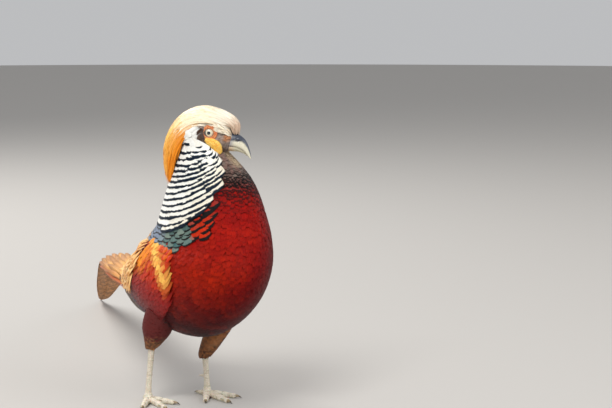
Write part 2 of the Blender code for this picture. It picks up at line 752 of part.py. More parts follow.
def make_wing(side, finish):
    """The folded wing on the side of the body: tiers of feathers on a thin core."""
    sign = SIDES[side]
    top, bottom = [], []
    for place in np.linspace(WING_FIRST, WING_LAST, 8):
        upper, lower = wing_span(place)
        angles = [sign * (upper + (lower - upper) * j / WING_ACROSS) for j in range(WING_ACROSS + 1)]
        top.append([on_body(place, angle, WING_CORE) for angle in angles])
        bottom.append([on_body(place, angle, WING_UNDER) for angle in angles])
    wing = slab(f"wing_{side}", top, bottom, finish)
    draw = random.Random(11)
    vanes = []
    for tier, (place, length, high) in enumerate(WING_TIERS):
        upper, lower = wing_span(place + 0.6)
        girth = np.linalg.norm(body_skin(place, 1.51) - body_skin(place, 1.49)) / 0.02
        width = (lower - upper) * girth / WING_COUNT * 0.92
        for i in range(WING_COUNT):
            share = (i + 0.5) / WING_COUNT
            angle = sign * (upper + (lower - upper) * share)
            root = place + 0.16 * (tier % 2) * (i % 2)
            size = length * draw.uniform(0.95, 1.05) * (1.0 + 0.18 * math.sin(math.pi * share))
            shape = LONG_TIP if tier == len(WING_TIERS) - 1 else ROUND_TIP
            vanes.append(vane(on_body, root, angle, size, width, (WING_ROOT, high), shape, finish))
    apply_boolean(wing, "UNION", vanes)
    return wing


def wing_cover(side, finish):
    """A plain shell round the folded wing, to cut the thigh clear of it."""
    sign = SIDES[side]
    top, bottom = [], []
    for place in np.linspace(WING_FIRST - 0.05, WING_LAST + 0.05, 13):
        upper, lower = wing_span(min(max(place, WING_FIRST), WING_LAST))
        angles = [sign * (upper + (lower - upper) * j / WING_ACROSS) for j in range(WING_ACROSS + 1)]
        angles[0] -= sign * 0.02
        angles[-1] += sign * 0.02
        top.append([raised(body_skin, place, angle, WING_DEPTH + 2 * GAP) for angle in angles])
        bottom.append([raised(body_skin, place, angle, 0.0) for angle in angles])
    return slab("cover", top, bottom, finish)


def head_solid(name, height, finish, rows=11, sides=HEAD_RING):
    """The plain form of the head, this high above its skin."""
    rings = []
    for place in np.linspace(0.0, len(HEAD) - 1, rows):
        rings.append([raised(head_skin, place, 2 * math.pi * j / sides, height) for j in range(sides)])
    forward = from_head(height, 0, 0) - from_head(0, 0, 0)
    rings[0] = [point + forward for point in rings[0]]
    rings[-1] = [point - forward for point in rings[-1]]
    return loft(name, rings, finish)


def body_form(first, last, height, finish, sides=RING, closeness=3):
    """The body's outline between two places, this high above its skin, to cut other pieces clear of it."""
    arcs = [(2 * math.pi * j / sides, -height) for j in range(sides)]
    count = int((last - first) * closeness) + 1
    rings = [body_ring(place, arcs) for place in np.linspace(first, last, count)]
    middle = sum(rings[len(rings) // 2]) / sides
    for end in (0, -1):
        out = sum(rings[end]) / sides
        away = (out - middle) / np.linalg.norm(out - middle)
        rings[end] = [point + away * height for point in rings[end]]
    return loft("form", rings, finish)


def ball(centre, radius, finish, segments=14, rings=8, name="ball"):
    """A round ball."""
    mesh = bpy.data.meshes.new(name)
    work = bmesh.new()
    bmesh.ops.create_uvsphere(work, u_segments=segments, v_segments=rings, radius=radius)
    bmesh.ops.translate(work, verts=work.verts, vec=Vector(centre))
    work.to_mesh(mesh)
    work.free()
    mesh.materials.append(finish)
    made = bpy.data.objects.new(name, mesh)
    bpy.context.scene.collection.objects.link(made)
    return made


def eye_centre(side):
    """The middle of an eyeball."""
    return from_head(0.0, SIDES[side] * EYE_OUT, 0.0)


def eyelid(side, finish, grown=0.0):
    """The ring of bare lids round an eye, grown by a little to cut other pieces clear of it."""
    around, sides = 16, 5
    thick = LID_THICK + grown
    rings = []
    for i in range(around):
        turn = 2 * math.pi * i / around
        ring = []
        for j in range(sides):
            roll = 2 * math.pi * j / sides
            reach = LID_RADIUS + thick * math.cos(roll)
            out = SIDES[side] * (LID_OUT + thick * 1.4 * math.sin(roll))
            ring.append(from_head(reach * LID_STRETCH * math.cos(turn), out, reach * math.sin(turn)))
        rings.append(ring)
    points = [point for ring in rings for point in ring]
    faces = []
    for i in range(around):
        faces += cells(i * sides, (i + 1) % around * sides, sides, closed=True)
    return solid("lid", points, faces, finish)


def make_head(finish):
    """The head with its lids, open where the eyes and the neck fit."""
    head = head_solid("head", 0.0, finish)
    apply_boolean(head, "UNION", [eyelid(side, finish) for side in SIDES])
    cutters = [ball(eye_centre(side), EYE_RADIUS + GAP, finish) for side in SIDES]
    apply_boolean(head, "DIFFERENCE", cutters + [body_form(0.0, 4.0, 2 * GAP, finish, 20)])
    return head


def make_eye(side, finish):
    """An eyeball."""
    return ball(eye_centre(side), EYE_RADIUS, finish, name=f"eye_{side}")


def bill_ring(u, high, low, half, upper):
    """A section of the bill: round above and flat below, or the other way up."""
    ring = []
    for j in range(9):
        turn = math.pi * j / 8
        rise = math.sin(turn) ** 0.8
        w = low + (high - low) * rise if upper else high - (high - low) * rise
        ring.append(from_head(u, half * math.cos(turn), w))
    return ring


def make_bill(name, rows, upper, finish, grown=0.0):
    """One half of the bill, grown by a little; the gap between the halves is the line of the mouth."""
    rows = np.array(rows)
    rings = []
    for place in np.linspace(0.0, len(rows) - 1, 2 * len(rows) - 1):
        u, high, low, half = spline(rows, place)
        rings.append(bill_ring(u, high + grown, low - grown, half + grown, upper))
    return loft(name, rings, finish)


def cut_nostrils(bill, finish):
    """The slits of the nostrils in the sides of the upper bill."""
    cutters = []
    for sign in SIDES.values():
        slit = ball((0.0, 0.0, 0.0), 1.0, finish, segments=10, rings=6)
        slit.data.transform(Matrix.Diagonal((*NOSTRIL_SIZE, 1.0)))
        spot = (NOSTRIL_AT[0], sign * NOSTRIL_AT[1], NOSTRIL_AT[2])
        slit.data.transform(HEAD_FRAME @ Matrix.Translation(spot))
        cutters.append(slit)
    apply_boolean(bill, "DIFFERENCE", cutters)


def crest_locks(finish):
    """The crest's silky locks, which overlap from the forehead to the nape."""
    draw = random.Random(13)
    found = []
    for tier in range(CREST_TIERS):
        place = 0.15 + (CREST_TIER_LAST - 0.15) * tier / (CREST_TIERS - 1)
        half = spline(CREST, place)[2]
        count = CREST_COUNT - (tier == 0)
        width = min(CREST_LOCK_WIDTH, 2 * half * CREST_EDGE / count)
        for i in range(count):
            angle = CREST_EDGE * 0.92 * ((i + 0.5 + 0.2 * (-1) ** tier) / count * 2 - 1)
            size = CREST_LOCK_LENGTH * draw.uniform(0.93, 1.07)
            heights = (-CREST_CORE - 0.0012, 0.0002 + 0.0003 * (i % 2))
            drift = -angle * 0.12
            lock = vane(on_crest, place, angle, size, width, heights, LOCK_TIP, finish, drift, LOCK_THICK)
            found.append(lock)
    return found


def make_crest(finish):
    """The silky crest from the forehead over the crown and down the nape."""
    top, bottom = [], []
    for place in np.linspace(0.0, len(CREST) - 1.4, 13):
        angles = [CREST_EDGE * (2 * j / CREST_ACROSS - 1) for j in range(CREST_ACROSS + 1)]
        thinning = max(place - 7.0, 0.0) / (len(CREST) - 8)
        depth = CREST_DEPTH + (CREST_TIP_DEPTH - CREST_DEPTH) * thinning
        core = CREST_CORE * (1.0 - 0.65 * thinning)
        top.append([on_crest(place, angle, -core) for angle in angles])
        bottom.append([on_crest(place, angle, -max(depth, core + 0.0012)) for angle in angles])
    crest = slab("crest", top, bottom, finish)
    apply_boolean(crest, "UNION", crest_locks(finish))
    neck = body_form(0.0, NECK_END, CAPE_LIFT + 2 * GAP, finish, 18, 2)
    cutters = [head_solid("form", 2 * GAP, finish, 12, 16), neck]
    cutters.append(make_bill("form", BILL_UPPER_ROWS, True, finish, 2 * GAP))
    apply_boolean(crest, "DIFFERENCE", cutters)
    return crest


def make_wattle(side, finish):
    """The bare fold that hangs from below an eye along the cheek."""
    sign = SIDES[side]
    rows = np.array(WATTLE_ROWS)
    top, bottom = [], []
    for place in np.linspace(0.0, len(rows) - 1, 9):
        u, w, half = spline(rows, place)
        ahead = spline(rows, place + 0.02) - spline(rows, place - 0.02)
        size = math.hypot(ahead[0], ahead[1])
        side_u, side_w = ahead[1] / size, -ahead[0] / size
        row_top, row_bottom = [], []
        for j in range(7):
            r = 2 * j / 6 - 1
            spot_u, spot_w = u + side_u * half * r, w + side_w * half * r
            crown = 0.0016 * (1 - r * r) + 0.0004 * math.cos(3 * math.pi * r)
            out = 0.0150 - 0.6 * max(0.0, -0.010 - spot_w) + crown
            row_top.append(from_head(spot_u, sign * out, spot_w))
            row_bottom.append(from_head(spot_u, sign * (out - 0.0075), spot_w))
        top.append(row_top)
        bottom.append(row_bottom)
    wattle = slab(f"wattle_{side}", top, bottom, finish)
    apply_boolean(wattle, "DIFFERENCE", [head_with_lids(GAP, finish), body_form(0.0, 4.0, GAP, finish)])
    return wattle


def head_with_lids(height, finish):
    """The head's form with room for the lids, to cut the wattles clear of them."""
    form = head_solid("form", height, finish)
    apply_boolean(form, "UNION", [eyelid(side, finish, height) for side in SIDES])
    return form


def tube(name, line, radii, finish, sides=12):
    """A round form along a line of points with a radius at each."""
    rings = []
    line = [Vector(point) for point in line]
    for i, point in enumerate(line):
        along = (line[min(i + 1, len(line) - 1)] - line[max(i - 1, 0)]).normalized()
        first = Vector((1, 0, 0)) if abs(along.z) > 0.7 else along.cross(Vector((0, 0, 1)))
        first = (first - along * along.dot(first)).normalized()
        second = along.cross(first)
        ring = []
        for j in range(sides):
            turn = 2 * math.pi * j / sides
            ring.append(np.array(point + (first * math.cos(turn) + second * math.sin(turn)) * radii[i]))
        rings.append(ring)
    return loft(name, rings, finish)


def make_thigh(side, finish):
    """The feathered leg that shows below the belly."""
    hock = HOCK[side]
    low = Vector((hock.x, hock.y, THIGH_END[side]))
    line = [*THIGH_LINE[side], low + Vector((0.0, 0.0, 0.003)), low]
    thigh = tube(f"thigh_{side}", line, THIGH_RADII[side], finish, 16)
    apply_boolean(thigh, "DIFFERENCE", [body_form(NECK_END, 10.8, 3 * GAP, finish), wing_cover(side, finish)])
    return thigh


def make_shank(side, finish):
    """The bare shank from the feathering to the toes, with its spur."""
    hock, foot = HOCK[side], FOOT[side]
    top = Vector((hock.x, hock.y, THIGH_END[side] - GAP))
    upright = Vector((0.0, 0.0, 0.003))
    line = [top, top - upright, top.lerp(foot, 0.5), foot + upright, foot]
    shank = tube(f"shank_{side}", line, SHANK_RADII, finish, 12)
    root = top.lerp(foot, 0.62)
    inward = -0.35 * SIDES[side]
    tip = root + Vector((inward, 0.9, -0.12)).normalized() * (SPUR_LENGTH + SHANK_RADII[2])
    spur = tube("spur", [root, root.lerp(tip, 0.5), tip], (0.0021, 0.0016, 0.0004), finish, 8)
    apply_boolean(shank, "UNION", [spur])
    return shank


def toe_ahead(side, toe):
    """The direction of a toe along the floor."""
    turn = math.radians(TOES[toe][1])
    return Vector((SIDES[side] * math.sin(turn), -math.cos(turn), 0.0))


def make_foot(side, finish):
    """The toes on one flat level."""
    foot = FOOT[side]
    pieces = []
    for toe, (length, _, radius) in TOES.items():
        line = []
        for i, t in enumerate((0.0, 0.3, 0.62, 1.0)):
            height = radius * TOE_TAPER[i] * 0.86
            line.append(Vector((foot.x, foot.y, height)) + toe_ahead(side, toe) * length * t)
        pieces.append(tube("toe", line, [radius * share for share in TOE_TAPER], finish, 8))
    high = Vector((foot.x, foot.y, foot.z - GAP))
    hub = tube(f"foot_{side}", [high, Vector((foot.x, foot.y, -0.0005))], (0.0042, 0.0052), finish, 12)
    apply_boolean(hub, "UNION", pieces)
    cut_at_floor(hub, finish)
    return hub


def make_claw(side, toe, finish):
    """A curved claw at the end of a toe."""
    length, _, radius = TOES[toe]
    ahead = toe_ahead(side, toe)
    thick = radius * TOE_TAPER[-1] * 0.80
    start = Vector((FOOT[side].x, FOOT[side].y, radius * TOE_TAPER[-1] * 0.86)) + ahead * (length + 2 * GAP)
    line, radii = [], []
    for t in (0.0, 0.35, 0.7, 1.0):
        line.append(start + ahead * CLAW_LENGTH * t + Vector((0, 0, 0.0010 * math.sin(math.pi * t) - 0.0012 * t)))
        radii.append(thick * (1 - 0.88 * t))
    claw = tube(f"claw_{toe}_{side}", line, radii, finish, 6)
    cut_at_floor(claw, finish)
    return claw


def tidy_scene():
    """Removes what is in the scene."""
    for old in list(bpy.data.objects):
        bpy.data.objects.remove(old)


def look(name):
    """The material of a sub-part: its own, in the colour and roughness of its kind."""
    kind = name.replace("_right", "").replace("_left", "")
    return material(name, *LOOKS[kind.split("_")[0] if kind.startswith("claw") else kind])


def main():
    """Builds the bird."""
    tidy_scene()
    make_neck(look("neck"))
    make_cape(look("cape"))
    make_torso(look("torso"))
    make_rump(look("rump"))
    make_tail_coverts(look("tail_coverts"))
    make_tail(look("tail"))
    for side in SIDES:
        make_wing(side, look(f"wing_{side}"))
        make_thigh(side, look(f"thigh_{side}"))
        make_shank(side, look(f"shank_{side}"))
        make_foot(side, look(f"foot_{side}"))
        for toe in TOES:
            make_claw(side, toe, look(f"claw_{toe}_{side}"))
        make_eye(side, look(f"eye_{side}"))
        make_wattle(side, look(f"wattle_{side}"))
    make_head(look("head"))
    upper = look("bill_upper")
    cut_nostrils(make_bill("bill_upper", BILL_UPPER_ROWS, True, upper), upper)
    make_bill("bill_lower", BILL_LOWER_ROWS, False, look("bill_lower"))
    make_crest(look("crest"))
    for made in bpy.data.objects:
        made.data.transform(Matrix.Translation(-MIDDLE))


main()
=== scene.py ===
"""The looks of a ruffed cock pheasant that stands with its head turned to its left, over its CAD frame.

Metres, +Z up, in the frame's own place. The bird faces -Y and its left side is +X. A place along the body
counts the rows of the body's outline from under the head to the tip of the tail, and an angle turns round it
from the middle of the back, positive to the left.
"""

import logging
import math
from collections.abc import Callable, Sequence
from dataclasses import dataclass, replace
from enum import Enum

import bpy
import numpy as np
from mathutils import Euler, Matrix, Vector
from mathutils.kdtree import KDTree
from numpy.random import default_rng


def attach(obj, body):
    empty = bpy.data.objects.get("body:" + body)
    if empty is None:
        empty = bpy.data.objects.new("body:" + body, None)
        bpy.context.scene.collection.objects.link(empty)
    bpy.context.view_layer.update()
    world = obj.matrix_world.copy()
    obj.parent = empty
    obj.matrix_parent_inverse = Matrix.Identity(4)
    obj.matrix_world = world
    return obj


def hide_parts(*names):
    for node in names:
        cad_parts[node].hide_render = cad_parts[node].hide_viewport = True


Array = np.ndarray
Piece = bpy.types.Object

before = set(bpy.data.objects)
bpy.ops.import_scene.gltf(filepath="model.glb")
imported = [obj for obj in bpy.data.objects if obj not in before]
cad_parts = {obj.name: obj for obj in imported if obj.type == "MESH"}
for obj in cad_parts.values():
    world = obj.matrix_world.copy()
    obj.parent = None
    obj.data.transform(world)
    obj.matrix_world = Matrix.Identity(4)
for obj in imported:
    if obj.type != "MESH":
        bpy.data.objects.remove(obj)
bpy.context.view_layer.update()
LOG = logging.getLogger("pheasant")

MIDDLE = np.array((0.0656, 0.2327, 0.0))  # the floor under the middle of the bird, from between its feet
BODY = "root"
BAKE_MAP = "OFBake"
BAKE_PATCH = 0.003  # how wide a feather's patch is on the map
BAKE_MARGIN = 0.001
STATIONS = 8  # how many steps a feather is bent in along its length
FLOOR_GAP = 0.0001  # how high the soles lie over the floor
ROUND = 2 * math.pi


class Side(Enum):
    """The two sides of the bird, with the sign of X."""

    RIGHT = -1.0
    LEFT = 1.0

    @property
    def word(self) -> str:
        """The side's name in a piece's name."""
        return self.name.lower()


class Slot(Enum):
    """The record's material slots."""

    FACE = "face"
    CREST = "crest"
    RUFF = "ruff"
    BREAST = "breast"
    RUMP = "rump"
    TAIL_COVERTS = "tail_coverts"
    TAIL = "tail"
    WING = "wing"
    THIGH = "thigh"
    BILL = "bill"
    EYE = "eye"
    WATTLE = "wattle"
    LEG_SCALES = "leg_scales"
    CLAW = "claw"


def tint(red: float, green: float, blue: float) -> Array:
    """A linear colour for the shader from display values of 0 to 255."""
    value = np.array((red, green, blue), float) / 255
    return np.where(value <= 0.04045, value / 12.92, ((value + 0.055) / 1.055) ** 2.4)


CREAM = tint(255, 236, 202)
GOLD = tint(252, 194, 90)
AMBER = tint(240, 142, 28)
RUST = tint(190, 118, 60)
WHITE = tint(240, 240, 234)
IVORY = tint(230, 219, 194)
INK = tint(8, 26, 42)
BLACK = tint(16, 13, 13)
SCARLET = tint(146, 8, 2)
FLAME = tint(196, 44, 4)
CRIMSON = tint(108, 3, 5)
MAROON = tint(40, 2, 6)
GREEN = tint(112, 128, 118)
TEAL = tint(40, 86, 88)
BLUE = tint(30, 40, 78)
STEEL = tint(122, 134, 162)
CORAL = tint(222, 104, 50)
OCHRE = tint(222, 160, 104)
UMBER = tint(66, 40, 24)
CHEEK = tint(168, 152, 142)
BUFF = tint(212, 188, 150)
PLATE = tint(226, 217, 196)  # a leg's palest plates
EYE_RING = tint(238, 234, 206)
EYE_RIM = tint(150, 128, 92)
PUPIL = tint(20, 30, 38)


def clamp(values: Array | float) -> Array:
    """The values, kept from 0 to 1."""
    return np.clip(values, 0.0, 1.0)


def paired(*values: Array | float) -> Sequence[Array]:
    """The values as arrays of one shape."""
    return np.broadcast_arrays(*(np.asarray(value, float) for value in values))


def blend(first: Array, second: Array, share: Array | float) -> Array:
    """Colours between two, or between two rows of them, with this much of the second from 0 to 1."""
    share = clamp(share)[..., None]
    return first * (1 - share) + second * share


def spline(rows: Array, places: Array) -> Array:
    """Rows on a smooth curve through some rows.

    Args:
        rows: The rows that the curve passes.
        places: Where along them, counted in rows.

    Returns:
        A row for each place.
    """
    places = np.asarray(places, float)
    last = len(rows) - 1
    i = np.clip(np.floor(places).astype(int), 0, last - 1)
    t = (places - i)[..., None]
    start, end = rows[i], rows[i + 1]
    leave = np.where((i > 0)[..., None], (end - rows[np.maximum(i - 1, 0)]) / 2, end - start)
    arrive = np.where((i < last - 1)[..., None], (rows[np.minimum(i + 2, last)] - start) / 2, end - start)
    t2, t3 = t * t, t * t * t
    bends = (t3 - 2 * t2 + t) * leave, (t3 - t2) * arrive
    return (2 * t3 - 3 * t2 + 1) * start + bends[0] + (3 * t2 - 2 * t3) * end + bends[1]


def unit(vectors: Array) -> Array:
    """The vectors at length 1."""
    return vectors / np.maximum(np.linalg.norm(vectors, axis=-1, keepdims=True), 1e-12)


class Form:
    """A surface with a place along it and an angle round it."""

    STEP = 1e-3

    def at(self, places: Array, angles: Array) -> Array:
        """The points at these places and angles."""
        raise NotImplementedError

    def along(self, places: Array, angles: Array) -> Array:
        """How a point moves for each place, as vectors."""
        return (self.at(places + self.STEP, angles) - self.at(places - self.STEP, angles)) / (2 * self.STEP)

    def around(self, places: Array, angles: Array) -> Array:
        """How a point moves for each radian of angle, as vectors."""
        return (self.at(places, angles + self.STEP) - self.at(places, angles - self.STEP)) / (2 * self.STEP)

    def outward(self, places: Array, angles: Array) -> Array:
        """The outward direction of the surface."""
        return unit(np.cross(self.around(places, angles), self.along(places, angles)))

    def reach(self, places: Array, angles: Array) -> Array:
        """Metres for each place."""
        return np.maximum(np.linalg.norm(self.along(places, angles), axis=-1), 1e-4)

    def girth(self, places: Array, angles: Array) -> Array:
        """Metres for each radian of angle."""
        return np.maximum(np.linalg.norm(self.around(places, angles), axis=-1), 1e-4)

    def above(self, places: Array, angles: Array, height: Array | float) -> Array:
        """The points this high above the surface."""
        return self.at(places, angles) + self.outward(places, angles) * np.asarray(height)[..., None]


@dataclass(frozen=True)
class BodyForm(Form):
    """The body and tail as slanted ovals.

    Each row holds its highest point on the back (y, z), its lowest on the front (y, z), half its width, how
    far it lies to the left, and its turn to the left in degrees.
    """

    body_rows: tuple = (
        (-0.0346, 0.3010, -0.0582, 0.3020, 0.0166, -0.0035, 43.0),
        (-0.0300, 0.2900, -0.0780, 0.2800, 0.0200, 0.0060, 43.0),
        (-0.0210, 0.2720, -0.0900, 0.2640, 0.0280, 0.0110, 40.0),
        (-0.0080, 0.2490, -0.1040, 0.2440, 0.0365, 0.0140, 27.0),
        (0.0060, 0.2240, -0.1200, 0.2160, 0.0450, 0.0148, 13.0),
        (0.0200, 0.2010, -0.1330, 0.1860, 0.0520, 0.0150, 5.0),
        (0.0390, 0.1850, -0.1380, 0.1530, 0.0590, 0.0120, 0.0),
        (0.0600, 0.1710, -0.1220, 0.1200, 0.0590, 0.0100, 0.0),
        (0.0810, 0.1590, -0.0870, 0.0920, 0.0545, 0.0090, 0.0),
        (0.0980, 0.1490, -0.0420, 0.0760, 0.0450, 0.0100, 0.0),
        (0.1110, 0.1410, 0.0140, 0.0770, 0.0355, 0.0100, 0.0),
        (0.1220, 0.1350, 0.0620, 0.0900, 0.0275, 0.0100, -2.0),
        (0.1340, 0.1310, 0.1040, 0.1060, 0.0210, 0.0100, -6.0),
    )
    tail_line: tuple = (
        (0.1650, 0.0170, 0.1215),
        (0.2100, 0.0340, 0.1205),
        (0.3000, 0.0730, 0.1050),
        (0.3900, 0.1100, 0.0760),
        (0.4800, 0.1450, 0.0430),
        (0.5500, 0.1720, 0.0135),
        (0.6050, 0.1930, -0.0020),
    )
    tail_half_widths: tuple = (0.021, 0.023, 0.024, 0.023, 0.02, 0.015, 0.009)
    tail_half_heights: tuple = (0.0105, 0.011, 0.011, 0.0095, 0.0075, 0.005, 0.003)

    @property
    def rows(self) -> Array:
        """All rows, those of the tail square to its line."""
        line = np.array(self.tail_line)
        tail = []
        for i, (y, x, z) in enumerate(line):
            step = line[min(i + 1, len(line) - 1)] - line[max(i - 1, 0)]
            turn = -math.degrees(math.atan2(step[1], step[0]))
            slope = math.atan2(step[2], math.hypot(step[0], step[1]))
            high = self.tail_half_heights[i]
            lean, rise = -math.sin(slope) * high, math.cos(slope) * high
            tail.append((y + lean, z + rise, y - lean, z - rise, self.tail_half_widths[i], x, turn))
        return np.array(self.body_rows + tuple(tail))

    def at(self, places: Array, angles: Array) -> Array:
        """The points at these places and angles from the back."""
        places, angles = paired(places, angles)
        row = spline(self.rows, places)
        back_y, back_z, front_y, front_z, half, x, turn = np.moveaxis(row, -1, 0)
        along, across = np.cos(angles), half * np.sin(angles)
        depth = (back_y - front_y) / 2 * along
        turn = np.radians(turn)
        points = (
            x + across * np.cos(turn) - depth * np.sin(turn),
            (back_y + front_y) / 2 + across * np.sin(turn) + depth * np.cos(turn),
            (back_z + front_z) / 2 + (back_z - front_z) / 2 * along,
        )
        return np.stack(points, -1) - MIDDLE


@dataclass(frozen=True)
class HeadFrame:
    """The head's own frame: u forward along the bill, v to the left, w up, from midway between the eyes."""

    place: tuple = (0.011, -0.062, 0.301)
    turn: float = math.radians(43.0)  # to the left
    nod: float = math.radians(7.0)  # bill down

    @property
    def matrix(self) -> Matrix:
        """The frame as a matrix in the model's place."""
        turn = Matrix.Rotation(self.turn - math.pi / 2, 4, "Z") @ Matrix.Rotation(self.nod, 4, "Y")
        return Matrix.Translation(Vector(self.place) - Vector(MIDDLE)) @ turn

    def point(self, u: Array, v: Array, w: Array) -> Array:
        """Points of the head's frame, in the model's."""
        matrix = np.array(self.matrix)
        return np.stack(paired(u, v, w), -1) @ matrix[:3, :3].T + matrix[:3, 3]

    def local(self, points: Array) -> Array:
        """Points of the model, as rows of u, v, w."""
        matrix = np.array(self.matrix)
        return (points - matrix[:3, 3]) @ matrix[:3, :3]


HEAD = HeadFrame()


@dataclass(frozen=True)
class HeadForm(Form):
    """The head from the bill's root to the neck: u, w of the middle, half height, half width."""

    rows: tuple = (
        (0.0235, -0.0068, 0.0092, 0.0078),
        (0.0180, -0.0062, 0.0132, 0.0098),
        (0.0100, -0.0055, 0.0182, 0.0124),
        (0.0000, -0.0030, 0.0208, 0.0145),
        (-0.0110, -0.0010, 0.0215, 0.0163),
        (-0.0220, -0.0020, 0.0200, 0.0163),
        (-0.0310, -0.0040, 0.0135, 0.0136),
        (-0.0360, -0.0030, 0.0080, 0.0085),
    )

    def at(self, places: Array, angles: Array) -> Array:
        """The points at these places from the bill and angles from the crown."""
        places, angles = paired(places, angles)
        u, middle, high, half = np.moveaxis(spline(np.array(self.rows), places), -1, 0)
        return HEAD.point(u, half * np.sin(angles), middle + high * np.cos(angles))


@dataclass(frozen=True)
class CrestForm(Form):
    """The crest's outer line from the forehead down the nape: u, w, half width, in the head's frame."""

    rows: tuple = (
        (0.0306, 0.0020, 0.0062),
        (0.0286, 0.0130, 0.0095),
        (0.0215, 0.0200, 0.0125),
        (0.0110, 0.0240, 0.0150),
        (-0.0010, 0.0265, 0.0170),
        (-0.0140, 0.0265, 0.0180),
        (-0.0270, 0.0215, 0.0180),
        (-0.0390, 0.0115, 0.0175),
        (-0.0475, -0.0030, 0.0165),
        (-0.0515, -0.0200, 0.0150),
        (-0.0512, -0.0330, 0.0130),
        (-0.0488, -0.0460, 0.0100),
        (-0.0450, -0.0590, 0.0060),
    )

    def at(self, places: Array, angles: Array) -> Array:
        """The points at these places from the forehead and angles from the middle line."""
        places, angles = paired(places, angles)
        rows = np.array(self.rows)
        u, w, half = np.moveaxis(spline(rows, places), -1, 0)
        ahead = spline(rows, places + 0.02) - spline(rows, places - 0.02)
        size = np.hypot(ahead[..., 0], ahead[..., 1])
        out_u, out_w = ahead[..., 1] / size, -ahead[..., 0] / size
        drop = half * (1 - np.cos(angles))
        return HEAD.point(u - out_u * drop, half * np.sin(angles), w - out_w * drop)


@dataclass(frozen=True)
class TubeForm(Form):
    """A round form along a line, each point of it with a radius."""

    line: tuple
    radii: tuple
    front: tuple = (0.0, -1.0, 0.0)  # where angle 0 faces

    def at(self, places: Array, angles: Array) -> Array:
        """The points at these places along the line and angles from the front."""
        places, angles = paired(places, angles)
        rows = np.column_stack((np.array(self.line, float), self.radii))
        here = spline(rows, places)
        ahead = unit((spline(rows, places + 0.01) - spline(rows, places - 0.01))[..., :3])
        front = np.array(self.front, float)
        front = unit(front - ahead * (ahead @ front)[..., None])
        side = np.cross(ahead, front)
        turned = front * np.cos(angles)[..., None] - side * np.sin(angles)[..., None]
        return here[..., :3] + turned * here[..., 3:]


BODY_FORM = BodyForm()
HEAD_FORM = HeadForm()
CREST_FORM = CrestForm()


# Shader maths


class Signal:
    """A number in a shader, on which Python's operators add the nodes."""

    def __init__(self, nodes: "Nodes", socket: bpy.types.NodeSocket) -> None:
        """Wraps an output socket of a material's nodes."""
        self.nodes = nodes
        self.socket = socket

    def math(self, operation: str, *others: "Signal | float") -> "Signal":
        """The result of a Math node on this number and others."""
        return self.nodes.add("ShaderNodeMath", {"operation": operation}, dict(enumerate((self, *others))))

    def __add__(self, other: "Signal | float") -> "Signal":
        """The sum."""
        return self.math("ADD", other)

    def __sub__(self, other: "Signal | float") -> "Signal":
        """The difference."""
        return self.math("SUBTRACT", other)

    def __rsub__(self, other: float) -> "Signal":
        """The difference, the other way round."""
        return self * -1.0 + other

    def __mul__(self, other: "Signal | float") -> "Signal":
        """The product."""
        return self.math("MULTIPLY", other)

    __radd__, __rmul__ = __add__, __mul__

    def size(self) -> "Signal":
        """The number without its sign."""
        return self.math("ABSOLUTE")

    def wave(self) -> "Signal":
        """The sine."""
        return self.math("SINE")

    def most(self, other: "Signal | float") -> "Signal":
        """The larger of two."""
        return self.math("MAXIMUM", other)

    def step(self, low: "Signal | float", high: "Signal | float") -> "Signal":
        """A smooth rise from 0 at low to 1 at high."""
        ease = {"interpolation_type": "SMOOTHSTEP"}
        return self.nodes.add("ShaderNodeMapRange", ease, {"Value": self, "From Min": low, "From Max": high})


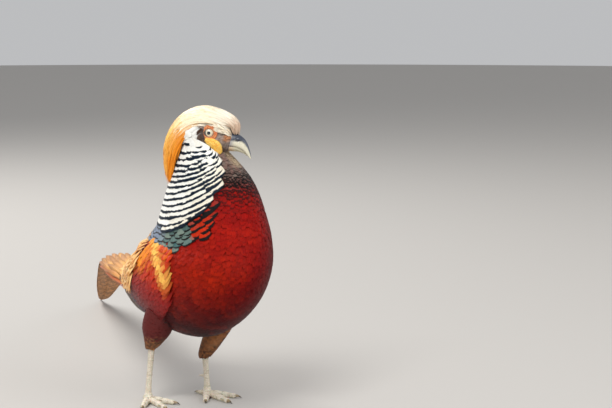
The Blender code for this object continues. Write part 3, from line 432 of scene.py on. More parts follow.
class Nodes:
    """The nodes of one material with a Principled shader."""

    def __init__(self, name: str) -> None:
        """Starts a material."""
        self.material = bpy.data.materials.new(name)
        self.material.use_nodes = True
        self.tree = self.material.node_tree
        self.shader = self.tree.nodes["Principled BSDF"]

    def add(self, kind: str, settings: dict, inputs: dict, output: int | str = 0) -> Signal:
        """Adds a node.

        Args:
            kind: The node's type.
            settings: Its properties.
            inputs: Values or signals for its sockets, by name or number.
            output: The socket that is returned.

        Returns:
            The signal of that output.
        """
        node = self.tree.nodes.new(kind)
        for name, value in settings.items():
            setattr(node, name, value)
        for name, value in inputs.items():
            self.put(node.inputs[name], value)
        return Signal(self, node.outputs[output])

    def put(self, socket: bpy.types.NodeSocket, value: object) -> None:
        """Links a signal to a socket, or sets the socket's value."""
        if isinstance(value, Signal):
            self.tree.links.new(value.socket, socket)
        elif socket.type == "RGBA" and len(value) == 3:
            socket.default_value = (*map(float, value), 1.0)
        else:
            socket.default_value = value

    def attribute(self, name: str, output: str = "Fac") -> Signal:
        """The value of a mesh attribute."""
        return self.add("ShaderNodeAttribute", {"attribute_name": name}, {}, output)

    def mix(self, share: Signal | float, first: object, second: object, way: str = "MIX") -> Signal:
        """A colour between two.

        Args:
            share: How much of the second.
            first: A colour or signal.
            second: A colour or signal.
            way: The blend type.

        Returns:
            The mixed colour.
        """
        inputs = {"Factor": share, 6: first, 7: second}
        return self.add("ShaderNodeMix", {"data_type": "RGBA", "blend_type": way}, inputs, 2)

    def shaded(self, colour: object, *light: Signal) -> Signal:
        """A colour times a brightness, or times one for red, green and blue."""
        channels = light if len(light) == 3 else light * 3
        tone = self.add("ShaderNodeCombineColor", {}, dict(enumerate(channels)))
        return self.mix(1.0, colour, tone, "MULTIPLY")

    def spot(self) -> Signal:
        """The place in the object's own coordinates."""
        return self.add("ShaderNodeTexCoord", {}, {}, "Object")

    def noise(self, scale: float, detail: float) -> Signal:
        """Cloudy noise in the object's coordinates."""
        return self.add("ShaderNodeTexNoise", {}, {"Vector": self.spot(), "Scale": scale, "Detail": detail})

    def bump(self, height: Signal, strength: float, distance: float) -> None:
        """Raises the surface by a height."""
        inputs = {"Height": height, "Strength": strength, "Distance": distance}
        self.put(self.shader.inputs["Normal"], self.add("ShaderNodeBump", {}, inputs))

    def finish(self, colour: object, rough: object, **fixed: object) -> bpy.types.Material:
        """Ends the material.

        Args:
            colour: What the surface's colour is.
            rough: How rough it is.
            **fixed: Values of the shader's other sockets, with _ for a space.

        Returns:
            The material.
        """
        self.put(self.shader.inputs["Base Color"], colour)
        self.put(self.shader.inputs["Roughness"], rough)
        for name, value in fixed.items():
            self.put(self.shader.inputs[name.replace("_", " ")], value)
        return self.material


@dataclass(frozen=True)
class FeatherFinish:
    """The finish of feathers: a marked tip, a shaft, barbs and gloss."""

    name: str
    roughness: float = 0.46
    sheen: float = 0.05
    gloss: float = 0.12
    grain: float = 0.35  # how strongly fine noise shades the colour
    barbs: float = 26.0  # how many rows of barbs show along a feather
    slant: float = 3.4  # how far the barbs lean to the tip
    relief: float = 0.35
    shaft: float = 0.35  # how much paler the shaft is
    root_shade: float = 0.45  # painted shade: how much darker a feather is towards its root, where others cover it, partly also the darker bases real feathers have
    curve: float = 0.1  # how much the marking follows the round tip
    rim: float = 0.0  # whether the marking runs along the sides as well
    softness: float = 0.05
    mottle: float = 0.0  # how strongly the marking's colour is scattered over the feather
    bars: float = 0.0  # how many cross bars show along a feather
    variety: float = 0.22

    def make(self) -> bpy.types.Material:
        """The material."""
        nodes = Nodes(self.name)
        along = nodes.attribute("along")
        across = nodes.attribute("across").size()
        pick = nodes.attribute("pick")
        edge = nodes.attribute("edge")
        base = nodes.attribute("base", "Color")
        mark = nodes.attribute("mark", "Color")
        ragged = nodes.noise(420.0, 2.0) - 0.5
        reach = along + self.curve * (across * across) + 0.1 * ragged
        start = 1.0 - edge
        band = reach.step(start - self.softness, start + self.softness) * edge.step(0.0, 0.02)
        if self.rim:
            side = (across + 0.12 * ragged).step(1.0 - self.rim, 1.0 - self.rim * 0.5) * edge.step(0.0, 0.02)
            band = band.most(side * along.step(0.15, 0.5))
        if self.bars:
            ripple = ((along + 0.02 * across + 0.1 * ragged + 0.05 * pick) * (self.bars * ROUND)).wave()
            band = band.most(ripple.step(0.0, 0.7) * 0.75)
        if self.mottle:
            speck = nodes.noise(300.0, 4.0).step(0.5, 0.6)
            band = band.most(speck * self.mottle)
        colour = nodes.mix(band, base, mark)
        barb = ((along * self.barbs - across * self.slant) * ROUND + 5.0 * pick).wave()
        fine = nodes.noise(900.0, 2.0)
        line = across.step(0.1, 0.03)
        light = 1.0 + self.variety * (pick - 0.5) + 0.1 * barb + self.grain * (fine - 0.5)
        # painted shade towards each feather's root, where others cover it, partly also its own darker base
        light = light * (1.0 - self.root_shade * along.step(0.75, 0.1)) + self.shaft * 0.4 * line
        colour = nodes.shaded(colour, light)
        nodes.bump(barb * 0.5 + 0.8 * fine + 1.5 * line, self.relief, 0.0004)
        rough = self.roughness + 0.12 * (fine - 0.5)
        return nodes.finish(colour, rough, Sheen_Weight=self.sheen, Sheen_Roughness=0.4,
                            Specular_IOR_Level=self.gloss)


@dataclass(frozen=True)
class SkinFinish:
    """The skin under the feathers, in the colours of those that grow from it, darkened as painted shade in
    the gaps between them.
    """

    name: str = "skin"

    def make(self) -> bpy.types.Material:
        """The material."""
        nodes = Nodes(self.name)
        grain = nodes.noise(500.0, 4.0)
        nodes.bump(grain, 0.4, 0.0008)
        # painted shade: the skin keeps only about half of the feathers' colour, so the gaps between them look
        # deep
        light = (level + 0.4 * grain for level in (0.35, 0.33, 0.32))
        return nodes.finish(nodes.shaded(nodes.attribute("base", "Color"), *light), 0.7)


@dataclass(frozen=True)
class FleshFinish:
    """Bare skin with a fine pebbled grain, as on the wattles and lids."""

    name: str
    colour: Array
    deep: Array
    scale: float

    def make(self) -> bpy.types.Material:
        """The material."""
        nodes = Nodes(self.name)
        inputs = {"Vector": nodes.spot(), "Scale": self.scale}
        pebble = nodes.add("ShaderNodeTexVoronoi", {}, inputs, "Distance")
        cloud = nodes.noise(160.0, 3.0)
        share = (pebble * 0.9 + 0.6 * (cloud - 0.5)).step(0.15, 0.75)
        nodes.bump(1.0 - pebble, 0.5, 0.0005)
        colour = nodes.mix(share, self.colour, self.deep)
        return nodes.finish(colour, 0.42 + 0.1 * cloud, Subsurface_Weight=0.15, Subsurface_Scale=0.002)


@dataclass(frozen=True)
class EyeFinish:
    """A pale ring round a dark pupil, under a wet film."""

    name: str
    pupil: float = 0.4  # its edge, as a share of the ring's radius

    def make(self) -> bpy.types.Material:
        """The material."""
        nodes = Nodes(self.name)
        out = nodes.attribute("out")
        fibre = nodes.noise(1500.0, 3.0)
        iris = nodes.mix((out + 0.1 * (fibre - 0.5)).step(0.8, 1.05), EYE_RING, EYE_RIM)
        iris = nodes.mix(0.35 * fibre.step(0.45, 0.7), iris, EYE_RIM)
        colour = nodes.mix(out.step(self.pupil - 0.02, self.pupil + 0.02), PUPIL, iris)
        return nodes.finish(colour, 0.12, Coat_Weight=1.0, Coat_Roughness=0.03)


@dataclass(frozen=True)
class HornFinish:
    """Horn that goes from one colour at the root to another at the tip, dark along its ridge."""

    name: str
    ridge: Array
    side: Array
    root: Array
    roughness: float = 0.3

    def make(self) -> bpy.types.Material:
        """The material."""
        nodes = Nodes(self.name)
        streak = nodes.noise(700.0, 4.0)
        cloud = nodes.noise(120.0, 2.0)
        top = (nodes.attribute("top") + 0.25 * (cloud - 0.5)).step(0.5, 0.78)
        start = (nodes.attribute("along") + 0.2 * (cloud - 0.5)).step(0.3, 0.02)
        colour = nodes.mix(start * 0.85, self.side, self.root)
        colour = nodes.mix(top, colour, self.ridge)
        nodes.bump(streak, 0.15, 0.0003)
        colour = nodes.shaded(colour, 0.86 + 0.28 * streak)
        rough = self.roughness + 0.12 * (streak - 0.5)
        return nodes.finish(colour, rough, Coat_Weight=0.3, Coat_Roughness=0.2)


@dataclass(frozen=True)
class PlainFinish:
    """The floor of the studio."""

    name: str
    colour: Array
    roughness: float = 0.9

    def make(self) -> bpy.types.Material:
        """The material."""
        nodes = Nodes(self.name)
        return nodes.finish(self.colour, self.roughness, Specular_IOR_Level=0.1)


# Modelling


def deselect() -> None:
    """Leaves object mode with nothing selected."""
    if bpy.context.object and bpy.context.object.mode != "OBJECT":
        bpy.ops.object.mode_set(mode="OBJECT")
    bpy.ops.object.select_all(action="DESELECT")


def pick_only(piece: Piece) -> None:
    """Makes one object the selected and active one."""
    deselect()
    piece.select_set(True)
    bpy.context.view_layer.objects.active = piece


def points_of(mesh: bpy.types.Mesh) -> Array:
    """The mesh's points."""
    points = np.empty(len(mesh.vertices) * 3, np.float32)
    mesh.vertices.foreach_get("co", points)
    return points.reshape(-1, 3).astype(float)


def move_points(mesh: bpy.types.Mesh, points: Array) -> None:
    """Moves the mesh's points."""
    mesh.vertices.foreach_set("co", np.asarray(points, np.float32).ravel())
    mesh.update()


def add_object(name: str, data: bpy.types.ID) -> Piece:
    """Puts a mesh, camera or light into the scene."""
    made = bpy.data.objects.new(name, data)
    bpy.context.scene.collection.objects.link(made)
    return made


def lift_to_floor(piece: Piece) -> None:
    """Raises what lies below the soles to their height."""
    points = points_of(piece.data)
    points[:, 2] = np.maximum(points[:, 2], FLOOR_GAP)
    move_points(piece.data, points)


def merge(piece: Piece, distance: float = 1e-6, outward: bool = True) -> None:
    """Merges points that lie together and turns the faces outwards."""
    pick_only(piece)
    bpy.ops.object.mode_set(mode="EDIT")
    bpy.ops.mesh.select_all(action="SELECT")
    bpy.ops.mesh.remove_doubles(threshold=distance)
    if outward:
        bpy.ops.mesh.normals_make_consistent(inside=False)
    bpy.ops.object.mode_set(mode="OBJECT")


def wrap(rings: Array) -> Piece:
    """Wraps a grid round rings of points, each of which goes once round, and closes its ends."""
    ends = [np.repeat(ring.mean(0)[None], len(ring), 0) for ring in (rings[0], rings[-1])]
    rings = np.concatenate(([ends[0]], rings, [ends[1]]))
    rows, columns = rings.shape[:2]
    deselect()
    bpy.ops.mesh.primitive_grid_add(x_subdivisions=columns, y_subdivisions=rows - 1, size=2)
    piece = bpy.context.object
    flat = points_of(piece.data)
    column = np.rint((flat[:, 0] + 1) / 2 * columns).astype(int) % columns
    row = np.rint((flat[:, 1] + 1) / 2 * (rows - 1)).astype(int)
    move_points(piece.data, rings[row, column])
    merge(piece)
    return piece


def form_rings(form: Form, places: Sequence[float], height: Callable | float, around: int) -> Array:
    """Rings of points on a form.

    Args:
        form: The form.
        places: Where the rings lie.
        height: How high above the form, or a function of places and angles.
        around: How many points a ring has.

    Returns:
        The rings as rows of points.
    """
    place, angle = np.meshgrid(np.asarray(places, float), np.arange(around) * ROUND / around, indexing="ij")
    high = height(place, angle) if callable(height) else np.full(place.shape, height)
    return form.above(place, angle, high)


def join(pieces: Sequence[Piece], name: str) -> Piece:
    """Joins pieces into one object."""
    deselect()
    for piece in pieces:
        piece.select_set(True)
    bpy.context.view_layer.objects.active = pieces[0]
    bpy.ops.object.join()
    joined = bpy.context.object
    joined.name = name
    joined.data.name = name
    return joined


def apply_modifier(piece: Piece, kind: str, **settings: object) -> None:
    """Adds a modifier with these settings and applies it."""
    pick_only(piece)
    modifier = piece.modifiers.new(kind.lower(), kind)
    for name, value in settings.items():
        setattr(modifier, name, value)
    bpy.ops.object.modifier_apply(modifier=modifier.name)


def remesh(piece: Piece, voxel: float, rounds: int) -> None:
    """Fuses the piece's closed parts into one surface and smooths it."""
    pick_only(piece)
    piece.data.remesh_voxel_size = voxel
    piece.data.remesh_voxel_adaptivity = 0.0
    bpy.ops.object.voxel_remesh()
    apply_modifier(piece, "SMOOTH", factor=0.5, iterations=rounds)


def dress(piece: Piece, finish: bpy.types.Material, slot: Slot, *nodes: str) -> Piece:
    """Gives a piece its finish and its place in the frame.

    Args:
        piece: The piece.
        finish: Its material.
        slot: The record's slot that it would take its finish from; not used.
        *nodes: The frame's nodes that it stands for.

    Returns:
        The piece.
    """
    piece.data.materials.clear()
    piece.data.materials.append(finish)
    piece.data.polygons.foreach_set("use_smooth", np.ones(len(piece.data.polygons), bool))
    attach(piece, BODY)
    if nodes:
        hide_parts(*nodes)
    LOG.info("%s: %d triangles", piece.name, sum(len(face.vertices) - 2 for face in piece.data.polygons))
    return piece


def note(mesh: bpy.types.Mesh, name: str, values: Array) -> None:
    """Keeps a number or colour for each point of a mesh as an attribute."""
    values = np.asarray(values, np.float32)
    if values.ndim == 1:
        mesh.attributes.new(name, "FLOAT", "POINT").data.foreach_set("value", values)
    else:
        full = np.ones((len(values), 4), np.float32)
        full[:, :3] = values
        mesh.attributes.new(name, "FLOAT_COLOR", "POINT").data.foreach_set("color", full.ravel())


# Feathers


@dataclass(frozen=True)
class Template:
    """A modelled feather as arrays, ready to be copied."""

    x: Array  # across, in shares of half the width
    t: Array  # along, from the root
    z: Array  # up, in shares of the thickness
    faces: Array
    edge: Array  # whether a point is on the outline
    outline: Array  # half the width at each point

    @property
    def across(self) -> Array:
        """Each point's place from one side of the vane at -1 to the other at 1."""
        return self.x / self.outline


@dataclass(frozen=True)
class Cut:
    """The shape of one kind of feather, in shares of half its width, of its length and of its thickness."""

    outline: tuple  # shares of half the width at even steps from root to tip
    columns: int
    rows: int
    round_tip: float  # how far the corners of the tip draw back
    teeth: float = 0.0  # how deep the tip is frayed

    def half_width(self, t: Array) -> Array:
        """Half the width at these shares of the length."""
        return np.interp(t, np.linspace(0, 1, len(self.outline)), self.outline)

    def model(self) -> Template:
        """Models the feather flat: two sheets that meet along its outline."""
        deselect()
        bpy.ops.mesh.primitive_grid_add(x_subdivisions=self.columns, y_subdivisions=self.rows, size=2)
        piece = bpy.context.object
        flat = points_of(piece.data)
        x, t = flat[:, 0], (flat[:, 1] + 1) / 2
        column = np.rint((x + 1) / 2 * self.columns).astype(int)
        drawn = t - self.round_tip * x * x * clamp((t - 0.5) * 2)
        drawn -= self.teeth * (column % 2 == 0) * (t > 0.999)
        edge = (np.abs(x) > 0.999) | (t < 0.001) | (t > 0.999)
        move_points(piece.data, np.column_stack((x * self.half_width(t), drawn, np.where(edge, 0.0, 0.5))))
        pick_only(piece)
        bpy.ops.object.mode_set(mode="EDIT")
        bpy.ops.mesh.select_all(action="SELECT")
        bpy.ops.mesh.duplicate()
        bpy.ops.mesh.flip_normals()
        bpy.ops.object.mode_set(mode="OBJECT")
        both = points_of(piece.data)
        both[len(flat):, 2] *= -1
        move_points(piece.data, both)
        merge(piece, 1e-5, outward=False)
        points = points_of(piece.data)
        faces = np.array([tuple(face.vertices) for face in piece.data.polygons])
        bpy.data.objects.remove(piece)
        return Template(*points.T, faces, np.abs(points[:, 2]) < 0.01, self.half_width(points[:, 1]))


# outline, columns, rows, how far the tip's corners draw back, and how deep it is frayed
BODY_CUT = Cut((0.55, 0.95, 1.0, 0.8), 4, 3, 0.22, 0.12)
SMALL_CUT = Cut((0.5, 1.0, 0.8), 2, 2, 0.3)
LOCK_CUT = Cut((0.5, 1.0, 0.9, 0.7, 0.12), 2, 4, 0.0)
PLUME_CUT = Cut((0.45, 0.9, 1.0, 0.8, 0.2), 4, 5, 0.1, 0.06)
MANTLE_CUT = Cut((0.5, 0.95, 1.0, 1.0, 0.94), 6, 5, 0.15)
RUFF_CUT = Cut((0.5, 0.85, 1.0, 1.0, 0.96), 6, 6, 0.1)
QUILL_CUT = Cut((0.5, 0.9, 1.0, 1.0, 0.9, 0.45), 4, 8, 0.06)
LANCE_CUT = Cut((0.4, 0.8, 1.0, 0.95, 0.75, 0.45, 0.08), 4, 10, 0.0)
TAIL_CUT = Cut((0.72, 0.95, 1.0, 0.98, 0.93, 0.85, 0.72, 0.5, 0.12), 6, 26, 0.0)
SCALE_CUT = Cut((0.92, 1.0, 0.9), 2, 2, 0.12)
CUTS = (
    BODY_CUT, SMALL_CUT, LOCK_CUT, PLUME_CUT, RUFF_CUT, QUILL_CUT, LANCE_CUT, TAIL_CUT, SCALE_CUT, MANTLE_CUT,
)


@dataclass
class Plumes:
    """The feathers of a tract, with an entry in each array for each feather."""

    place: Array
    angle: Array
    length: Array
    width: Array
    base: Array
    mark: Array
    root: Array | float = -0.0022  # height of the root over the form
    tip: Array | float = 0.0006  # height of the tip
    drift: Array | float = 0.0  # turn aside along the length, in radians of the angle
    edge: Array | float = 0.0  # the marked tip, as a share of the length
    twist: Array | float = 0.0  # tilt across
    slope: Array | float = 0.0  # how far the sides run ahead of each other, in metres a metre across
    camber: float = 0.12  # how far the sides bend down, in shares of half the width
    thick: float = 0.00025
    stray: float = 0.0003  # how much the heights differ

    def filled(self) -> "Plumes":
        """The same with an entry for each feather in every array."""
        count = len(self.place)
        shapes = dict.fromkeys(("root", "tip", "drift", "edge", "twist", "slope"), count)
        shapes |= dict.fromkeys(("base", "mark"), (count, 3))
        values = vars(self)
        return replace(self, **{key: np.broadcast_to(values[key], shape) for key, shape in shapes.items()})

    def kept(self, mask: Array) -> "Plumes":
        """Only the feathers that the mask keeps."""
        full = self.filled()
        arrays = {key: value for key, value in vars(full).items() if isinstance(value, Array)}
        return replace(full, **{key: value[mask] for key, value in arrays.items()})


ROOTS: list[tuple[Array, Array]] = []  # where feathers lie and their colours, for the skin under them


def feather_piece(name: str, points: Array, faces: Array, on_edge: Array, notes: dict, baked: Array) -> Piece:
    """Makes an object of feathers, sharp along their outlines.

    Args:
        name: Its name.
        points: Its points.
        faces: Its faces, as numbers of points.
        on_edge: Whether each point is on an outline.
        notes: Its attributes, with a value for each point.
        baked: Each point's place on the bake map.

    Returns:
        The object.
    """
    mesh = bpy.data.meshes.new(name)
    mesh.vertices.add(len(points))
    mesh.vertices.foreach_set("co", points.astype(np.float32).ravel())
    mesh.loops.add(faces.size)
    mesh.loops.foreach_set("vertex_index", faces.astype(np.int32).ravel())
    mesh.polygons.add(len(faces))
    mesh.polygons.foreach_set("loop_start", np.arange(0, faces.size, faces.shape[1], dtype=np.int32))
    mesh.update(calc_edges=True)
    ends = np.empty(len(mesh.edges) * 2, np.int32)
    mesh.edges.foreach_get("vertices", ends)
    outer = on_edge[ends.reshape(-1, 2)].all(1)
    mesh.attributes.new("sharp_edge", "BOOLEAN", "EDGE").data.foreach_set("value", outer)
    for key, values in notes.items():
        note(mesh, key, values)
    layer = mesh.uv_layers.new(name=BAKE_MAP)
    layer.data.foreach_set("uv", baked[faces.ravel()].astype(np.float32).ravel())
    return add_object(name, mesh)


def lay_feathers(
    name: str, form: Form, cut: Template, plumes: Plumes, seed: int, band: tuple = (0.0, 1.0)
) -> Piece:
    """Lays copies of a feather over a form, each bent along it.

    Args:
        name: The piece's name.
        form: The form that they lie on.
        cut: The feather that is copied.
        plumes: Where and how each lies.
        seed: The seed of the small differences.
        band: The part of the bake map that they fill: its low edge and its height.

    Returns:
        The feathers as one piece.
    """
    plumes = plumes.filled()
    count, points = len(plumes.place), len(cut.x)
    places = np.empty((count, STATIONS + 1))
    places[:, 0] = plumes.place
    for k in range(STATIONS):
        reach = form.reach(places[:, k], plumes.angle + plumes.drift * k / STATIONS)
        places[:, k + 1] = places[:, k] + plumes.length / STATIONS / reach
    share = cut.t * STATIONS
    low = np.clip(np.floor(share).astype(int), 0, STATIONS - 1)
    place = places[:, low] + (places[:, low + 1] - places[:, low]) * (share - low)
    middle = plumes.angle[:, None] + plumes.drift[:, None] * cut.t
    half = plumes.width[:, None] / 2 * cut.x
    angle = middle + half / form.girth(place, middle)
    place = place + plumes.slope[:, None] * half * cut.t / form.reach(place, middle)
    pick = default_rng(seed).random(count)
    rise = 1 - (1 - cut.t) ** 2.2
    height = plumes.root[:, None] + (plumes.tip - plumes.root)[:, None] * rise
    height = height + (pick[:, None] - 0.5) * plumes.stray
    height = height + plumes.twist[:, None] * half + cut.z * plumes.thick
    height = height - plumes.camber * half * half / (plumes.width[:, None] / 2)
    spots = form.above(place, angle, height).reshape(-1, 3)
    faces = (cut.faces[None] + np.arange(count)[:, None, None] * points).reshape(-1, cut.faces.shape[1])
    notes = {"along": np.tile(cut.t, count), "across": np.tile(cut.across, count)}
    for key, values in (("pick", pick), ("edge", plumes.edge), ("base", plumes.base), ("mark", plumes.mark)):
        notes[key] = np.repeat(values, points, axis=0)
    for station in (0, STATIONS // 2):
        ROOTS.append((form.at(places[:, station], plumes.angle), plumes.base))
    return feather_piece(name, spots, faces, np.tile(cut.edge, count), notes, bake_places(cut, plumes, band))


def bake_places(cut: Template, plumes: Plumes, band: tuple) -> Array:
    """Where the feathers' points lie on the bake map: each feather in a small patch at its root's place.

    Args:
        cut: The feather.
        plumes: Where the feathers are.
        band: The part of the map to fill: its low edge and its height.

    Returns:
        A place on the map for each point.
    """
    turn = (plumes.angle + math.pi) % ROUND / ROUND
    run = (plumes.place - plumes.place.min()) / (np.ptp(plumes.place) or 1.0)
    shares = BAKE_MARGIN + (1.0 - 2 * BAKE_PATCH) * np.column_stack((turn, run))
    root = (0.0, band[0]) + shares * (1.0, band[1])
    local = np.column_stack((cut.x * 0.45 + 0.5, cut.t * 0.95)) * BAKE_PATCH
    return (root[:, None] + local[None]).reshape(-1, 2)


def tiers(
    form: Form, span: tuple, arc: Callable, pitch: tuple, seed: int, jitter: float
) -> tuple[Array, Array, Array, Array]:
    """Places feathers in staggered tiers over part of a form.

    Args:
        form: The form.
        span: The first and last place.
        arc: Gives the lowest and highest angle at a place.
        pitch: Metres between tiers, and between the feathers of a tier.
        seed: The seed of the small differences.
        jitter: How far a feather strays, in shares of the spacing.

    Returns:
        Places, angles, the tiers' spacing and the feathers' spacing, in metres where each feather lies.
    """
    draw = default_rng(seed)
    fine = np.linspace(span[0], span[1], 400)
    middle = np.array([sum(arc(place)) / 2 for place in fine])
    run = np.concatenate(([0.0], np.cumsum(form.reach(fine, middle)[:-1] * np.diff(fine))))
    count = max(int(round(run[-1] / pitch[0])), 2)
    where = np.interp(np.linspace(0, run[-1], count), run, fine)
    found = []
    for tier, place in enumerate(where):
        low, high = arc(place)
        if high <= low:
            continue
        girth = form.girth(np.full(9, place), np.linspace(low, high, 9)).mean()
        number = max(int(round((high - low) * girth / pitch[1])), 1)
        step = (high - low) / number
        angles = low + step * (np.arange(number) + 0.25 + 0.5 * (tier % 2))
        gap = where[min(tier + 1, count - 1)] - where[max(tier - 1, 0)]
        gap /= 2 if 0 < tier < count - 1 else 1
        places = place + draw.uniform(-jitter, jitter, number) * gap
        angles = angles + draw.uniform(-jitter, jitter, number) * step
        found.append(np.column_stack((places, angles, np.full(number, gap), np.full(number, step))))
    places, angles, gaps, steps = np.concatenate(found).T
    return places, angles, gaps * form.reach(places, angles), steps * form.girth(places, angles)


def turned(angles: Array) -> Array:
    """The angles from the middle of the back, without their sign, from 0 to pi."""
    return np.abs((angles + math.pi) % ROUND - math.pi)


def cloud(points: Array, size: float, seed: int) -> Array:
    """Smooth random numbers from about -1 to 1 over space, from a few waves.

    Args:
        points: Where.
        size: The size of the clouds, in metres.
        seed: The seed of the waves.

    Returns:
        A number for each point.
    """
    draw = default_rng(seed)
    total = np.zeros(len(points))
    for _ in range(6):
        wave = draw.normal(size=3) / size
        total += np.sin(points @ wave * ROUND + draw.uniform(0, ROUND))
    return total / 3


# The bird's sub-assemblies


RUFF_PLACES = (-0.5, 0.0, 0.5, 1.0, 1.4, 1.8, 3.2, 3.6, 4.0, 4.3, 4.6, 4.8, 5.0, 5.15, 5.3, 5.5)
RUFF_EDGES = (70, 84, 106, 128, 132, 133, 134, 130, 125, 117, 110, 102, 92, 74, 40, 20)


def ruff_edge(place: Array | float) -> Array | float:
    """How far round the tips of the ruff reach at this place, from the back."""
    return np.radians(np.interp(place, RUFF_PLACES, RUFF_EDGES))


class Tract:
    """A part of the bird that is one piece of feathers."""

    finish: FeatherFinish
    slot: Slot
    nodes: tuple = ()  # the frame's nodes that it stands for
    edges: tuple  # places, and how far down both sides the feathers grow there, in degrees

    def arc(self, place: float) -> tuple:
        """The edges at this place, as angles."""
        edge = math.radians(np.interp(place, *self.edges))
        return -edge, edge

    def dress(self, piece: Piece) -> None:
        """Gives the piece its finish."""
        dress(piece, self.finish.make(), self.slot, *self.nodes)


@dataclass
class Ruff(Tract):
    """The ruff: broad white feathers with dark tips, in tiers that rise towards the front of the neck."""

    span: tuple = (0.3, 6.1)
    pitch: tuple = (0.008, 0.0078)
    length: float = 0.025
    width: float = 0.015
    bar: float = 0.0034
    first_bar: float = 0.3
    heights: tuple = (-0.0042, 0.0012)
    rise: float = 1.45  # how much higher a tier's ends lie than its middle, in places
    bend: float = 3.4  # how sharply a tier rises to its ends
    sweep: float = 0.16  # how far the feathers at the ends turn to the front
    finish = FeatherFinish("ruff_feathers", roughness=0.5, softness=0.016, curve=0.03, root_shade=0.2,
                           shaft=0.05, variety=0.06, barbs=30.0, relief=0.25)
    slot = Slot.RUFF
    nodes = ("cape",)

    def climb(self, place: float) -> float:
        """How many places higher than its middle the ends of a tier lie."""
        return self.rise * min(max(place / 3.0, 0.1), 1.0) ** 1.2 * min(1.0, (7.4 - place) / 3.0)

    def arc(self, place: float) -> tuple:
        """How far round a tier reaches that has its middle at this place."""
        edge = ruff_edge(place - self.climb(place) * 0.9) - 0.13
        return -edge, edge

    def build(self, cut: Template) -> Piece:
        """Lays the feathers by where their tips are."""
        tips, angles, _, _ = tiers(BODY_FORM, self.span, self.arc, self.pitch, 21, 0.08)
        ends = np.array([self.arc(place)[1] for place in tips])
        across = np.clip(np.abs(angles) / ends, 0, 1.05)
        rise = np.array([self.climb(place) for place in tips])
        tips = tips - rise * across ** self.bend
        kept = (tips < 5.3) & (np.abs(angles) < ruff_edge(tips) - 0.06)
        tips, angles, across, rise, ends = (values[kept] for values in (tips, angles, across, rise, ends))
        slope = -np.sign(angles) * self.bend * rise * across ** (self.bend - 1) / ends
        slope = slope * BODY_FORM.reach(tips, angles) / BODY_FORM.girth(tips, angles)
        draw, count = default_rng(22), len(tips)
        size = np.clip(0.62 + 0.4 * tips / 2.2, 0.6, 1.0)
        length = self.length * size * draw.uniform(0.94, 1.06, count)
        roots = tips - length / BODY_FORM.reach(tips - 0.3, angles)
        inner = angles * (1 - self.sweep * across ** 2)
        inner = inner * np.clip(ruff_edge(roots) / ruff_edge(tips), 0.8, 1.05)
        spots = BODY_FORM.at(tips, angles)
        # painted shade: ivory over the lower front ends of the tiers, with some random tone
        front_shade_and_tone = 0.7 * clamp((across - 0.6) * 3) * clamp(tips - 1.6) + 0.15 * cloud(spots, 0.03, 4)
        bar = np.where(tips > self.first_bar, self.bar * draw.uniform(0.75, 1.15, count), 0.0)
        top_front = clamp((across - 0.7) / 0.3) * clamp(3.2 - tips)
        bar = bar * (1 - 0.5 * top_front) * np.interp(tips, (0.4, 2.0), (0.7, 1.0))
        crowded = clamp((across - 0.6) / 0.3) * (tips < 2.4)
        bar = bar * (draw.random(count) > 0.15 * crowded)
        width = self.width * size * draw.uniform(0.96, 1.1, count)
        plumes = Plumes(
            roots, inner, length, width, blend(WHITE, IVORY, front_shade_and_tone), INK, root=self.heights[0],
            tip=self.heights[1] + 0.0006 * size, drift=angles - inner, edge=bar / length,
            twist=draw.normal(0, 0.015, count), camber=0.03, slope=np.clip(slope, -0.9, 0.9),
        )
        return lay_feathers("ruff", BODY_FORM, cut, plumes, 23)


@dataclass
class Crest(Tract):
    """The silky crest in layers of narrow locks."""

    span: tuple = (0.05, 9.9)
    edges: tuple = ((5.0, 6.5), (88, 112))  # further round where the locks hang down the nape
    pitch: tuple = (0.0038, 0.00095)
    length: float = 0.032
    width: float = 0.0019
    layers: tuple = (-0.0026, -0.0012, 0.0)
    finish = FeatherFinish("crest_silk", roughness=0.42, gloss=0.2, barbs=2.0, slant=9.0, relief=0.08,
                           shaft=0.0, root_shade=0.05, variety=0.28, grain=0.18)
    slot = Slot.CREST
    nodes = ("crest",)

    def colours(self, place: Array, angle: Array, draw: np.random.Generator) -> Array:
        """Pale over the crown and whiter at the front as painted light, orange at the bill and down the nape.
        """
        base = blend(CREAM, GOLD, (place - 4.5) / 2.6 + 0.35 * draw.random(len(place)) - 0.15)
        low = clamp(np.abs(angle) / math.radians(88) - 0.55) * clamp(place - 5.0)
        base = blend(base, AMBER, 1.5 * low + np.clip((place - 7.0) / 5.0, 0, 0.55))
        # painted light: whiter towards the front, which faces away from the key lamp
        base = blend(base, WHITE, 0.45 * clamp(2.2 - place))
        return blend(base, RUST, np.clip(0.6 - place * 0.9, 0, 0.5))

    def build(self, cut: Template) -> Piece:
        """Lays the locks in layers from the deepest out."""
        pieces = []
        for seed, height in enumerate(self.layers, 31):
            draw = default_rng(seed)
            place, angle, _, _ = tiers(CREST_FORM, self.span, self.arc, self.pitch, seed, 0.5)
            count, reach = len(place), CREST_FORM.reach(place, angle * 0)
            length = self.length * draw.uniform(0.8, 1.15, count) * np.clip(0.45 + place / 3, 0.45, 1.0)
            length = length * draw.uniform(0.75, 1.2, count)
            length = np.minimum(length, (draw.uniform(11.0, 12.5, count) - place) * reach)
            nape, fade = clamp((place - 5.0) / 2.0), clamp((place - 7.0) / 4.0)
            base = self.colours(place, angle, draw)
            width = self.width * draw.uniform(0.7, 1.2, count)
            loose = draw.uniform(-0.0002, 0.0003, count) * (1 + 2.5 * nape)
            plumes = Plumes(
                place, angle, length, width, base, base, root=height * (1 - fade) - 0.0016,
                tip=height * (1 - 0.7 * fade) + loose, camber=0.1, thick=0.0003, stray=0.0002,
                drift=-angle * 0.1 + draw.normal(0, 0.045, count) * (1 + nape),
                twist=draw.normal(0, 0.08, count),
            )
            pieces.append(lay_feathers(f"crest_{seed}", CREST_FORM, cut, plumes, seed))
        return join(pieces, "crest_locks")


